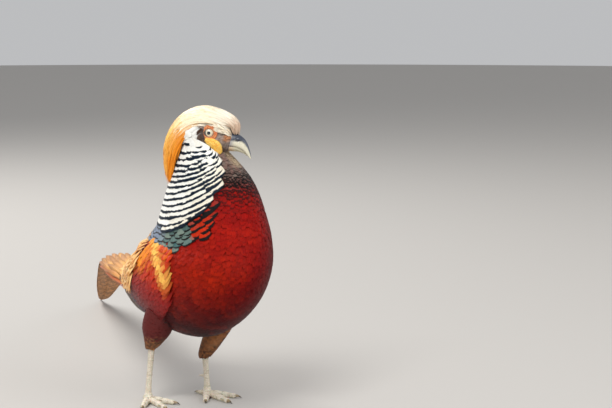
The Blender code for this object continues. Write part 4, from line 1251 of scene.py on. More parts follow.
@dataclass
class FaceCoat(Tract):
    """The small feathers of the head below the crest, with the white ones behind the eye."""

    span: tuple = (0.15, 6.9)
    pitch: tuple = (0.0016, 0.0015)
    length: float = 0.0048
    width: float = 0.0026
    eye_gap: tuple = (0.0083, 0.0076)  # the bare skin round the eye, along and up
    finish = FeatherFinish("face_down", roughness=0.7, barbs=6.0, relief=0.3, variety=0.25, shaft=0.05,
                           root_shade=0.15)
    slot = Slot.FACE

    def build(self, cut: Template, lock: Template, vane: Template) -> Piece:
        """Lays the feathers back and down from the bill.

        Args:
            cut: The small feather of the cheek.
            lock: The strand of the brow, as in the crest.
            vane: The white feather behind the eye, as in the ruff.

        Returns:
            The feathers.
        """
        place, angle, _, _ = tiers(HEAD_FORM, self.span, lambda _: (-math.pi, math.pi), self.pitch, 41, 0.3)
        draw, count = default_rng(42), len(place)
        spots = HEAD_FORM.at(place, angle)
        u, _, w = HEAD.local(spots).T
        turn = turned(angle)
        bare = (u / self.eye_gap[0]) ** 2 + (w / self.eye_gap[1]) ** 2 < 1
        mask = ~(bare & (turn > 0.9) & (turn < 2.3))
        shade = clamp((-0.004 - w) / 0.01) + clamp((-u - 0.002) / 0.006) * (w < 0.004)
        base = blend(CHEEK, UMBER, 0.8 * clamp(shade) + 0.15 * cloud(spots, 0.008, 6))
        base = blend(base, RUST, 0.75 * clamp((u - 0.017) / 0.003) * clamp((w + 0.0065) / 0.002))
        base = blend(base, BUFF, 0.7 * clamp((turn - 2.6) * 3) * clamp(2.6 - place))
        low_edge = 0.0062 - 0.5 * clamp(u - 0.006) + 0.0012 * cloud(spots, 0.005, 18)
        brow = (w > low_edge) & (turn < 2.0) & (u > -0.0105)
        fair = (u < -0.0088) & (u > -0.027) & (w > -0.01) & (w < 0.012) & (turn > 0.8) & (turn < 2.3)
        grow = 1 + 0.7 * clamp((turn - 2.4) * 2)
        down = Plumes(
            place, angle, self.length * grow * draw.uniform(0.85, 1.2, count), self.width * grow, base,
            blend(base, UMBER, 0.5), root=-0.001, tip=0.0005, drift=0.25 * np.sin(angle) * (w < 0.004),
            edge=0.12, twist=draw.normal(0, 0.08, count), thick=0.00018,
        )
        gold = blend(CREAM, WHITE, 0.2 + 0.3 * draw.random(count))
        gold = blend(gold, AMBER, np.clip((u - 0.022) / 0.006, 0, 0.25))
        full = 0.0014 + 0.0046 * clamp((u - 0.006) / 0.008) * clamp((w + 0.002) / 0.006)
        locks = Plumes(
            place, angle, 0.0105 * draw.uniform(0.8, 1.2, count), np.full(count, 0.002), gold, gold,
            root=-0.0006, tip=full, drift=0.1 * np.sin(angle), twist=draw.normal(0, 0.08, count),
            thick=0.00035,
        )
        dense = draw.random(count) < 0.9
        length = np.interp(u, (-0.027, -0.018), (0.007, 0.011)) * draw.uniform(0.8, 1.15, count)
        wisps = Plumes(
            place, angle, length, np.full(count, 0.0052), WHITE, blend(WHITE, INK, 0.45), root=-0.001,
            tip=0.0011, drift=0.45 * np.sin(angle), edge=0.045 * (draw.random(count) < 0.6),
            twist=draw.normal(0, 0.05, count), thick=0.0003,
        )
        sparse = draw.random(count) < 0.24
        laid = (
            ("face_feathers", cut, down.kept(mask & ~brow & ~fair), 43),
            ("brow_locks", lock, locks.kept(mask & brow & dense), 44),
            ("ear_feathers", vane, wisps.kept(mask & fair & sparse), 45),
        )
        pieces = [lay_feathers(name, HEAD_FORM, used, plumes, seed) for name, used, plumes, seed in laid]
        return join(pieces, "face_feathers")


@dataclass
class BodyTract(Tract):
    """One tract of the body's red coat between two places."""

    name: str
    span: tuple
    pitch: tuple
    length: float
    width: float
    seed: int
    overlap: float = 3.4
    slot = Slot.BREAST

    @property
    def finish(self) -> FeatherFinish:
        """The tract's finish."""
        return FeatherFinish(f"{self.name}_vanes", roughness=0.5, gloss=0.08, barbs=9.0, slant=3.0,
                             curve=0.16, softness=0.1, relief=0.45, variety=0.34, shaft=0.1, root_shade=0.35)

    def arc(self, place: float) -> tuple:
        """From under the edge of the ruff or the wing, round the front to the other edge."""
        edge = ruff_edge(place) - 0.3 if place < 5.2 else math.radians(50.0)
        return edge, ROUND - edge

    def colours(self, place: Array, angle: Array, spots: Array) -> tuple[Array, Array]:
        """The colours of feathers and tips: scarlet and crimson above, darker to maroon below as painted
        shade, a painted highlight on the near upper breast, painted shade down the far side, and black under
        the throat.
        """
        turn = turned(angle)
        height = spots[:, 2]
        # painted shade: darker from scarlet down to maroon towards the belly, as light falls from above
        base = blend(MAROON, CRIMSON, (height - 0.086) / 0.066)
        base = blend(base, SCARLET, (height - 0.15) / 0.055)
        # painted highlight in orange on the upper breast of the near, right side, with some random orange
        # tone
        painted_highlight = clamp(-np.sin(angle) * 1.5 + 0.1) * clamp(1 - np.abs(height - 0.16) / 0.06)
        base = blend(base, FLAME, 0.38 * painted_highlight + 0.12 * cloud(spots, 0.018, 7))
        # painted shade: maroon down the far, left side
        base = blend(base, MAROON, 0.55 * clamp(np.sin(angle) * 1.6) * clamp(turn - 1.2))
        throat = clamp((2.9 - place) * 1.4)
        base = blend(base, blend(CHEEK, UMBER, 0.55), throat * (0.95 + 0.15 * cloud(spots, 0.01, 8)))
        base = blend(base, BUFF, 0.55 * clamp((1.75 - place) * 3) * clamp((turn - 2.6) * 3))
        dark = clamp((3.9 - place) * 0.8) * clamp((place - 1.5) * 2.0)
        base = blend(base, BLACK, 0.45 * dark * clamp(0.6 + cloud(spots, 0.012, 10)))
        mark = blend(base, MAROON, 0.35)
        mark = blend(mark, BLACK, dark)
        vent = clamp((place - 9.4) / 1.2) * clamp((turn - 1.6) * 2)
        return blend(base, UMBER, 0.75 * vent), mark

    def build(self, cut: Template) -> Piece:
        """Lays the feathers."""
        place, angle, gap, step = tiers(BODY_FORM, self.span, self.arc, self.pitch, self.seed, 0.35)
        draw = default_rng(self.seed + 1)
        spots = BODY_FORM.at(place, angle)
        base, mark = self.colours(place, angle, spots)
        length = np.clip(np.maximum(gap * self.overlap, self.length * 0.8), 0, self.length * 1.5)
        length = length * draw.uniform(0.85, 1.2, len(place))
        width = np.maximum(self.width, step * 1.9) * draw.uniform(0.85, 1.15, len(place))
        scaled = clamp(3.7 - place) * clamp(place - 1.4)
        plumes = Plumes(
            place, angle, length, width, base, mark, root=-0.0024, tip=0.0005, stray=0.00012,
            drift=draw.normal(0, 0.03, len(place)), edge=0.06 + 0.24 * scaled,
            twist=draw.normal(0, 0.015, len(place)), camber=0.03,
        )
        return lay_feathers(self.name, BODY_FORM, cut, plumes, self.seed + 2)


@dataclass
class Mantle(Tract):
    """The scalloped feathers under the ruff's edge: green over the back, orange-red at the sides."""

    span: tuple = (3.3, 5.3)
    pitch: tuple = (0.005, 0.0076)
    length: float = 0.0165
    width: float = 0.0128
    edges: tuple = ((3.3, 3.8, 4.3, 4.7, 5.3), (118, 119, 116, 103, 92))
    finish = FeatherFinish("mantle_vanes", roughness=0.36, softness=0.03, curve=0.08, rim=0.16,
                           root_shade=0.25)
    slot = Slot.WING

    def build(self, cut: Template) -> Piece:
        """Lays the feathers."""
        place, angle, _, _ = tiers(BODY_FORM, self.span, self.arc, self.pitch, 61, 0.12)
        draw, count = default_rng(62), len(place)
        turn, tip = np.degrees(turned(angle)), place + 0.75
        spots = BODY_FORM.at(place, angle)
        low_back = clamp((tip - 5.0) * 3 + 0.4 * cloud(spots, 0.015, 19))
        side = clamp((turn - 96 + 14 * (4.9 - tip)) / 8)
        base = blend(GREEN, TEAL, 0.35 + 0.4 * cloud(spots, 0.02, 9))
        base = blend(base, STEEL, 0.75 * clamp((80 - turn) / 12) * low_back)
        base = blend(base, FLAME * 0.85, side)
        base = blend(base, INK, 0.55 * side * clamp(4.75 - tip))
        length = self.length * draw.uniform(0.92, 1.08, count)
        plumes = Plumes(
            place, angle, length, self.width * draw.uniform(0.92, 1.1, count), base, BLACK, root=-0.0026,
            tip=0.001, edge=0.11 + side * (0.05 + 0.12 * clamp(4.9 - tip)),
            drift=np.sign(angle) * 0.22 * clamp((turn - 60) / 50) + draw.normal(0, 0.01, count),
            slope=-np.sign(angle) * 0.95 * clamp((turn - 70) / 40), twist=draw.normal(0, 0.03, count),
            camber=0.06,
        )
        return lay_feathers("mantle_feathers", BODY_FORM, cut, plumes, 63)


@dataclass
class Rump(Tract):
    """The golden plumes of the lower back, which hang over the sides in pointed locks."""

    span: tuple = (5.35, 11.2)
    pitch: tuple = (0.0052, 0.0026)
    length: float = 0.042
    width: float = 0.005
    wing_height: float = 0.006  # how high the plumes lie where they cover the wing
    edges: tuple = ((5.35, 6.0, 7.0, 8.0, 9.0, 11.2), (50, 60, 67, 72, 70, 58))
    finish = FeatherFinish("rump_gold", roughness=0.4, barbs=22.0, slant=5.0, softness=0.14, root_shade=0.0,
                           variety=0.12, shaft=0.05, grain=0.1)
    slot = Slot.RUMP
    nodes = ("rump",)

    def lift(self, place: Array, angle: Array) -> Array:
        """How much higher the plumes lie here, over the wing."""
        start = np.radians(np.interp(place, (5.8, 7.0, 8.5, 10.3), (52, 50, 50, 56)))
        inside = clamp((place - 5.7) / 0.6) * clamp((10.6 - place) / 0.8)
        return self.wing_height * inside * clamp((np.abs(angle) - start) / 0.1)

    def build(self, cut: Template) -> Piece:
        """Lays the plumes, the outer ones turned down the sides."""
        place, angle, _, _ = tiers(BODY_FORM, self.span, self.arc, self.pitch, 71, 0.45)
        draw, count = default_rng(72), len(place)
        side = angle / np.array([self.arc(spot)[1] for spot in place])
        out = np.abs(side)
        base = blend(GOLD, CREAM, 0.2 + 0.35 * draw.random(count))
        base = blend(base, AMBER, clamp(out - 0.5) * 0.9 * draw.random(count))
        length = self.length * draw.uniform(0.7, 1.15, count) * np.clip(0.5 + (place - 5.3) / 3, 0.5, 1)
        length = length * (1 - 0.4 * clamp((out - 0.5) * 2.5) * (place < 9.0))
        drift = 0.2 * np.sign(side) * out ** 1.5 * clamp((place - 5.9) / 2.2) + draw.normal(0, 0.05, count)
        rooted, high = self.lift(place, angle), self.lift(place + 1.0, angle + drift)
        plumes = Plumes(
            place, angle, length, self.width * draw.uniform(0.7, 1.2, count), base,
            blend(base, AMBER, np.clip(out * 1.3 - 0.5, 0, 0.6)), root=rooted - 0.0028,
            tip=0.0008 + 0.0007 * draw.random(count) + high, edge=0.22, drift=drift,
            twist=draw.normal(0, 0.06, count), camber=0.05,
        )
        return lay_feathers("rump_plumes", BODY_FORM, cut, plumes, 73)


@dataclass
class Wing:
    """A folded wing: small coverts, great coverts and the long quills under them."""

    side: Side
    first: float = 5.8
    last: float = 10.3
    covert_span: tuple = (5.35, 8.6)
    covert_pitch: tuple = (0.0046, 0.0046)
    covert_size: tuple = (0.0165, 0.0072)
    quill_rows: tuple = (  # place, length, width, count and height of the tips
        (8.25, 0.036, 0.0105, 8, 0.0034),
        (8.30, 0.066, 0.0130, 7, 0.0026),
        (8.75, 0.078, 0.0105, 5, 0.0016),
    )

    def arc(self, place: float) -> tuple:
        """The upper and lower edge of the wing at this place, as angles from the back."""
        t = min(max((place - self.first) / (self.last - self.first), 0.0), 1.0)
        upper = 62.0 - 8.0 * math.sin(math.pi * min(t * 1.4, 1.0)) + 10.0 * t
        lower = 88.0 + 34.0 * math.sin(math.pi * min(0.12 + 0.8 * t, 1.0)) - 6.0 * t
        return math.radians(upper + 3.0), math.radians(lower)

    def colours(self, place: Array, turn: Array, spots: Array) -> Array:
        """Orange-red with a golden streak over the shoulder, then crimson, then blue-black."""
        turn = np.degrees(turn)
        base = blend(FLAME, AMBER, clamp((82 - turn) / 16) + 0.35 * cloud(spots, 0.016, 11))
        streak = np.exp(-(((turn - 80 - 30 * (place - 5.5)) / 6.0) ** 2)) * clamp((6.7 - place) * 3)
        base = blend(base, GOLD, streak)
        base = blend(base, SCARLET, clamp((place - 6.5) / 0.6 + 0.3 * cloud(spots, 0.012, 12)))
        base = blend(base, CRIMSON, clamp((place - 7.3) / 0.8))
        return blend(base, BLUE * 0.5, clamp((place - 8.7) / 0.4))

    def build(self, cut: Template, quill: Template) -> Piece:
        """Lays the quills, then the coverts over them."""
        sign = self.side.value
        seed = 81 if self.side is Side.RIGHT else 91
        draw = default_rng(seed)
        pieces = []
        for row, (place, length, width, count, high) in enumerate(self.quill_rows):
            low, top = self.arc(place + 0.8)
            share = (np.arange(count) + 0.5) / count
            angle = low + (top - low) * share
            where = place + 0.35 * (1 - share) * (row > 0) + draw.normal(0, 0.03, count)
            base = np.tile((BLUE * 0.6, UMBER, UMBER * 0.6)[row], (count, 1))
            base = blend(base, CRIMSON, 0.6 * (row == 0) * draw.random(count))
            length = length * draw.uniform(0.94, 1.04, count) * (1 + 0.16 * np.sin(math.pi * share))
            plumes = Plumes(
                where, sign * angle, length, np.full(count, width), base, blend(OCHRE, BLACK, 0.4),
                root=0.0004, tip=high + 0.001 * share, edge=0.03, camber=0.05, drift=-sign * 0.1 * share,
                thick=0.0004,
            )
            pieces.append(lay_feathers("quills", BODY_FORM, quill, plumes, seed + row, (0.1 * row, 0.1)))
        place, angle, _, _ = tiers(BODY_FORM, self.covert_span, self.arc, self.covert_pitch, seed + 4, 0.16)
        base = self.colours(place, angle, BODY_FORM.at(place, sign * angle))
        length, width = self.covert_size
        count, shoulder = len(place), (5.35, 6.2)
        length = length * draw.uniform(0.9, 1.15, count) * (1 + 0.12 * (place - 5.7))
        width = width * draw.uniform(0.88, 1.1, count)
        plumes = Plumes(
            place, sign * angle, length, width, base, blend(base, MAROON, 0.5),
            root=np.interp(place, shoulder, (-0.002, 0.0006)),
            tip=np.interp(place, shoulder, (0.0018, 0.004)) + 0.0004 * draw.random(count), edge=0.06,
            twist=draw.normal(0, 0.03, count), camber=0.08, drift=sign * draw.normal(0.02, 0.02, count),
        )
        pieces.append(lay_feathers("coverts", BODY_FORM, cut, plumes, seed + 5, (0.4, 0.6)))
        return join(pieces, f"wing_feathers_{self.side.word}")

    def dress(self, piece: Piece) -> None:
        """Gives the wing its finish."""
        word = self.side.word
        finish = FeatherFinish(f"wing_vanes_{word}", roughness=0.38, softness=0.04, barbs=20.0, variety=0.24,
                               root_shade=0.25)
        dress(piece, finish.make(), Slot.WING, f"wing_{word}")


@dataclass
class TailCoverts(Tract):
    """The long pointed feathers over and beside the root of the tail."""

    rows: tuple = (  # place, length, width, count and height of the tips
        (11.0, 0.060, 0.0085, 13, 0.0030),
        (11.25, 0.090, 0.0090, 15, 0.0022),
        (11.5, 0.128, 0.0095, 13, 0.0014),
    )
    spread: float = math.radians(122.0)
    under_arc: tuple = (1.9, ROUND - 1.9)
    finish = FeatherFinish("tail_covert_vanes", roughness=0.42, softness=0.25, barbs=60.0, variety=0.3,
                           root_shade=0.2, shaft=0.5)
    slot = Slot.TAIL_COVERTS
    nodes = ("tail_coverts",)

    def build(self, cut: Template) -> Piece:
        """Lays the feathers in three rows."""
        draw = default_rng(101)
        pieces = []
        for row, (place, length, width, count, high) in enumerate(self.rows):
            side = np.linspace(-1, 1, count)
            out = np.abs(side)
            red = clamp(out * 3.2 - 2.0)
            base = blend(blend(OCHRE, UMBER, 0.12), GOLD, 0.5 * draw.random(count))
            plumes = Plumes(
                place + draw.normal(0, 0.05, count), side * self.spread,
                length * (0.8 + 0.35 * out) * draw.uniform(0.9, 1.08, count), width * (1 - 0.35 * out ** 3),
                blend(base, CORAL, red), blend(blend(OCHRE, UMBER, 0.45), CORAL, red), root=-0.002,
                tip=high + 0.0012 * out, edge=0.35, camber=0.25, thick=0.0004, drift=0.1 * side,
                twist=draw.normal(0, 0.06, count),
            )
            pieces.append(lay_feathers("tail_coverts", BODY_FORM, cut, plumes, 102 + row, (0.3 * row, 0.3)))
        return join(pieces + [self.under(cut, draw)], "tail_covert_feathers")

    def under(self, cut: Template, draw: np.random.Generator) -> Piece:
        """The softer feathers under the root of the tail."""
        span, pitch = (10.6, 12.6), (0.008, 0.006)
        place, angle, _, _ = tiers(BODY_FORM, span, lambda _: self.under_arc, pitch, 107, 0.3)
        size = np.ones(len(place))
        base = blend(UMBER, CRIMSON, 0.7 * draw.random(len(place)))
        plumes = Plumes(place, angle, 0.032 * size, 0.008 * size, base, base * 0.6, tip=0.001, edge=0.1)
        return lay_feathers("under_tail", BODY_FORM, cut, plumes, 108, (0.9, 0.1))


@dataclass
class Tail(Tract):
    """The long tail: eight pairs of graded feathers, vaulted like a roof."""

    lengths: tuple = (1.0, 0.92, 0.79, 0.66, 0.55, 0.45, 0.36, 0.28)
    widths: tuple = (1.0, 0.99, 0.97, 0.95, 0.92, 0.88, 0.84, 0.78)
    first: float = 12.2  # the place of the roots
    last: float = 18.96  # the place of the longest tips
    layer: float = 0.001  # how much lower each pair lies than the one above it
    slope: float = 0.36  # how steeply the vanes fall to the sides
    top: float = 0.0011  # how far below the form's top the first pair lies
    past: float = 0.0008  # how far the vanes reach past the form
    thick: float = 0.00045
    inner: float = -0.0014  # where the first pair's inner edges lie from the middle line
    inner_step: float = 0.0003  # how much further out each next pair's do
    left_drop: float = 0.0005  # how much lower the left feathers lie than the right
    camber: float = 0.0006
    finish = FeatherFinish("tail_vanes", roughness=0.48, barbs=150.0, slant=5.0, mottle=0.6, bars=17.0,
                           variety=0.2, root_shade=0.15, shaft=0.4)
    slot = Slot.TAIL
    nodes = ("tail",)

    def point(self, place: Array, out: Array, rise: Array) -> Array:
        """Points this far to the left of the tail's middle line and this far above it."""
        back, left, front = (BODY_FORM.at(place, angle) for angle in (0.0, math.pi / 2, math.pi))
        middle = (back + front) / 2
        return middle + unit(left - middle) * out[..., None] + unit(back - middle) * rise[..., None]

    def feather(self, cut: Template, pair: int, sign: float) -> Piece:
        """One feather, under those nearer the middle."""
        end = self.first + (self.last - self.first) * self.lengths[pair]
        place = self.first + (end - self.first) * cut.t
        rows = spline(BODY_FORM.rows, place)
        half_height = np.hypot(rows[:, 0] - rows[:, 2], rows[:, 1] - rows[:, 3]) / 2
        inner = self.inner + self.inner_step * pair
        full = (rows[:, 4] + self.past - inner) * self.widths[pair]
        out = inner + full * cut.outline * (cut.across + 1) / 2
        rise = half_height - self.top - self.layer * pair - self.slope * np.abs(out) + cut.z * self.thick
        rise = rise - self.left_drop * (sign > 0) - self.camber * cut.across ** 2 * cut.outline
        points = self.point(place, sign * out, rise)
        points[:, 2] = np.maximum(points[:, 2], 2 * FLOOR_GAP)
        count, pairs = len(points), len(self.lengths)
        base = blend(OCHRE, UMBER, 0.3 * clamp(pair / (pairs - 1) + 0.15))
        notes = {
            "along": cut.t, "across": cut.across, "pick": np.full(count, (pair * 0.37) % 1.0),
            "edge": np.zeros(count), "base": np.tile(base, (count, 1)),
            "mark": np.tile(blend(UMBER, OCHRE, 0.22), (count, 1)),
        }
        column = (2 * pair + (sign > 0) + 0.45 + 0.4 * cut.x) / (2 * pairs)
        baked = 0.01 + 0.98 * np.column_stack((column, cut.t * self.lengths[pair]))
        faces = cut.faces if sign > 0 else cut.faces[:, ::-1]
        return feather_piece("tail_feather", points, faces, cut.edge, notes, baked)

    def build(self, cut: Template) -> Piece:
        """Makes all feathers of the tail."""
        made = [self.feather(cut, pair, side.value) for pair in range(len(self.lengths)) for side in Side]
        return join(made, "tail_feathers")


FEATHER_ENDS = {Side.RIGHT: (-0.0335, 0.0000, 0.061), Side.LEFT: (0.032, -0.003, 0.045)}
FEET = {Side.RIGHT: (-0.036, 0.004, 0.0095), Side.LEFT: (0.0325, -0.006, 0.0095)}
THIGH_LINES = {
    Side.RIGHT: ((-0.0268, -0.0140, 0.1050), (-0.0302, -0.0070, 0.0845), (-0.0320, -0.0031, 0.0730)),
    Side.LEFT: ((0.0500, -0.0240, 0.1050), (0.0465, -0.0140, 0.0845), (0.0385, -0.0080, 0.0640)),
}
THIGH_RADII = {
    Side.RIGHT: (0.0160, 0.0150, 0.0105, 0.0062, 0.0050),
    Side.LEFT: (0.0150, 0.0130, 0.0098, 0.0062, 0.0050),
}


@dataclass
class Leg:
    """A leg: the feathered thigh's form, the scaled shank and toes, and the claws."""

    side: Side
    shank_radii: tuple = (0.004, 0.0034, 0.0028, 0.0031, 0.0042)
    toes: tuple = (  # length, degrees outwards from the front, and radius
        (0.0430, 3.0, 0.0036),
        (0.0320, -32.0, 0.0034),
        (0.0335, 38.0, 0.0034),
        (0.0140, -168.0, 0.0028),
    )
    toe_shares: tuple = (0.0, 0.3, 0.62, 1.0)
    toe_taper: tuple = (1.0, 1.0, 0.9, 0.68)
    toe_height: float = 0.86  # of a toe's middle, in shares of its radius
    claw: float = 0.009
    spur: float = 0.0085

    @property
    def foot(self) -> Array:
        """The place above the hub of the toes."""
        return np.array(FEET[self.side]) - MIDDLE

    @property
    def low(self) -> Array:
        """Where the feathering ends."""
        return np.array(FEATHER_ENDS[self.side]) - MIDDLE

    def thigh_form(self) -> TubeForm:
        """The feathered part."""
        line = [np.array(spot) - MIDDLE for spot in THIGH_LINES[self.side]]
        return TubeForm((*line, self.low + (0, 0, 0.003), self.low - (0, 0, 0.001)), THIGH_RADII[self.side])

    def shank_form(self) -> TubeForm:
        """The bare part from the feathering to the toes."""
        top, foot, up = self.low + (0, 0, 0.002), self.foot, np.array((0, 0, 0.003))
        return TubeForm((top, top - up, (top + foot) / 2, foot + up, foot - (0, 0, 0.004)), self.shank_radii)

    def toe_ahead(self, degrees: float) -> Array:
        """The direction of a toe along the floor."""
        turn = math.radians(degrees)
        return np.array((self.side.value * math.sin(turn), -math.cos(turn), 0.0))

    def toe_form(self, length: float, degrees: float, radius: float) -> TubeForm:
        """A toe along the floor."""
        radii = radius * np.array(self.toe_taper)
        line = self.toe_ahead(degrees) * length * np.array(self.toe_shares)[:, None]
        line[:, :2] += self.foot[:2]
        line[:, 2] = radii * self.toe_height
        return TubeForm(line, radii, front=(0.0, 0.0, 1.0))

    def build_skin(self) -> Piece:
        """The shank, toes and spur as one skin, flat where it stands."""

        def knuckle(place: Array, _: Array) -> Array:
            """How far a toe swells at its joints, a little under its form."""
            return 0.0003 * np.cos(place * ROUND * 1.15) - 0.0003

        parts = [wrap(form_rings(self.shank_form(), np.linspace(0, 4, 30), -0.0003, 24))]
        for toe in self.toes:
            parts.append(wrap(form_rings(self.toe_form(*toe), np.linspace(0, 3, 28), knuckle, 20)))
        root = 0.38 * (self.low - (0, 0, 0.0003)) + 0.62 * self.foot
        back = unit(np.array((-0.35 * self.side.value, 0.9, -0.12)))
        tip = root + back * (self.spur + self.shank_radii[2])
        spur = TubeForm((root, (root + tip) / 2, tip), (0.0022, 0.0016, 0.0003), front=(0, 0, 1))
        parts.append(wrap(form_rings(spur, np.linspace(0, 2, 10), 0.0, 16)))
        hub = TubeForm([self.foot * (1, 1, share) for share in (1, 0.5, 0)], (0.0042, 0.0048, 0.0048))
        parts.append(wrap(form_rings(hub, np.linspace(0, 2, 8), 0.0, 24)))
        skin = join(parts, f"leg_{self.side.word}")
        remesh(skin, 0.0005, 4)
        lift_to_floor(skin)
        return skin

    def build_scales(self, cut: Template) -> Piece:
        """Broad plates down the front of the shank and along the toes, small ones round the back."""
        pieces = []

        def lay(form: Form, places: tuple, width: Array, dark: Array, tip: float, *rest: tuple) -> None:
            """Lays plates over a form, in colours from pale to this dark one."""
            (place, angle, gap), (seeds, band) = places, rest
            colour = blend(PLATE, dark, default_rng(seeds[0]).random(len(place)))
            plumes = Plumes(place, angle, gap * 1.5, width, colour, colour * 0.5, root=-0.0004, tip=tip,
                            edge=0.1, camber=0.05, thick=0.0003)
            pieces.append(lay_feathers("plates", form, cut, plumes, seeds[1], band))

        shank = self.shank_form()
        rows = ((0.0, 78.0, 2, 0.0026, 0.0003), (math.pi, 98.0, 4, 0.0017, 0.000225))
        for i, (middle, degrees, count, pitch, tip) in enumerate(rows):
            half = math.radians(degrees)
            arc, pitches = (middle - half, middle + half), (pitch, 2 * half * 0.0035 / count)
            *places, step = tiers(shank, (0.55, 3.85), lambda _, arc=arc: arc, pitches, 111 + i, 0.03)
            lay(shank, places, step * 1.02, tint(188, 176, 148), tip, (5 + i, 113 + i), (0.1 * i, 0.1))
        for i, (length, degrees, radius) in enumerate(self.toes):
            toe = self.toe_form(length, degrees, radius)
            place = np.linspace(0.35, 2.85, int(length / 0.0024))
            gap = toe.reach(place, place * 0) * (place[1] - place[0])
            narrow = np.interp(place, (0, 3), (1, 0.7))
            for part, middle in enumerate((0.0, 1.45, -1.45)):
                wide, tip = (0.8, 0.00014) if part else (1.5, 0.0002)
                places = place, np.full(len(place), middle), gap
                band = (0.2 + 0.2 * i + 0.06 * part, 0.06)
                lay(toe, places, radius * wide * narrow, tint(182, 170, 142), tip, (7 + part, 120 + i), band)
        piece = join(pieces, f"leg_scales_{self.side.word}")
        lift_to_floor(piece)
        return piece

    def build_claws(self) -> Piece:
        """The curved claws."""
        parts = []
        shares = np.linspace(0, 1, 5)
        for length, degrees, radius in self.toes:
            ahead, end = self.toe_ahead(degrees), radius * self.toe_taper[-1]
            start = np.array((*self.foot[:2], end * self.toe_height)) + ahead * (length - 0.0008)
            line = start + ahead * self.claw * shares[:, None]
            line[:, 2] += 0.0012 * np.sin(math.pi * shares) - 0.0014 * shares
            form = TubeForm(line, end * 0.8 * (1 - 0.9 * shares ** 1.3), front=(0.0, 0.0, 1.0))
            part = wrap(form_rings(form, np.linspace(0, 4, 14), 0.0, 14))
            run = clamp((points_of(part.data) - start) @ ahead / self.claw)
            note(part.data, "along", run)
            note(part.data, "top", run)
            parts.append(part)
        claws = join(parts, f"claws_{self.side.word}")
        lift_to_floor(claws)
        return claws

    def build_thigh(self, cut: Template) -> Piece:
        """The soft brown feathers of the thigh."""
        form = self.thigh_form()
        seed = 131 if self.side is Side.RIGHT else 141
        place, angle, _, _ = tiers(form, (-0.1, 3.3), lambda _: (0.0, ROUND), (0.0034, 0.003), seed, 0.35)
        draw = default_rng(seed + 1)
        count = len(place)
        spots = form.at(place, angle)
        base = blend(RUST, UMBER, 0.35 + 0.6 * cloud(spots, 0.012, seed))
        base = blend(base, OCHRE, 0.5 * clamp(cloud(spots, 0.02, seed + 3)))
        high = spots[:, 2] if self.side is Side.RIGHT else spots[:, 2] - 0.004
        flank = blend(CRIMSON, FLAME, 0.1)
        base = blend(base, flank, clamp((high - 0.073) / 0.004 + 0.4 * cloud(spots, 0.008, 17)))
        steps = np.linalg.norm(np.diff(np.array(form.line), axis=0), axis=1)
        left = steps.sum() - np.interp(place, np.arange(5), np.concatenate(([0.0], np.cumsum(steps))))
        length = np.minimum(0.0125 * draw.uniform(0.8, 1.2, count), left + 0.001)
        width = 0.0042 * draw.uniform(0.8, 1.2, count)
        plumes = Plumes(place, angle, length, width, base, blend(base, MAROON, 0.8), root=-0.0016, tip=0.001,
                        drift=draw.normal(0, 0.08, count), edge=0.12, twist=draw.normal(0, 0.1, count))
        return lay_feathers(f"thigh_feathers_{self.side.word}", form, cut, plumes, seed + 2)

    def dress(self, skin: Piece, scales: Piece, claws: Piece, thigh: Piece) -> None:
        """Gives the leg its finishes.

        Args:
            skin: The shank's and toes' skin.
            scales: Their plates.
            claws: The claws.
            thigh: The thigh's feathers.
        """
        word = self.side.word
        flesh = FleshFinish(f"leg_skin_{word}", tint(238, 230, 214), tint(204, 192, 170), 1400.0)
        dress(skin, flesh.make(), Slot.LEG_SCALES, f"shank_{word}", f"foot_{word}")
        plates = FeatherFinish(f"leg_plates_{word}", roughness=0.4, sheen=0.0, barbs=0.5, relief=0.15,
                               shaft=0.0, root_shade=0.0, curve=0.12, rim=0.2, softness=0.06, variety=0.15)
        dress(scales, plates.make(), Slot.LEG_SCALES)
        horn = HornFinish(f"claw_horn_{word}", tint(70, 56, 42), tint(150, 130, 98), tint(170, 150, 112))
        names = (f"claw_{toe}_{word}" for toe in ("middle", "inner", "outer", "hind"))
        dress(claws, horn.make(), Slot.CLAW, *names)
        down = FeatherFinish(f"thigh_down_{word}", roughness=0.6, barbs=8.0, softness=0.12, variety=0.4)
        dress(thigh, down.make(), Slot.THIGH)


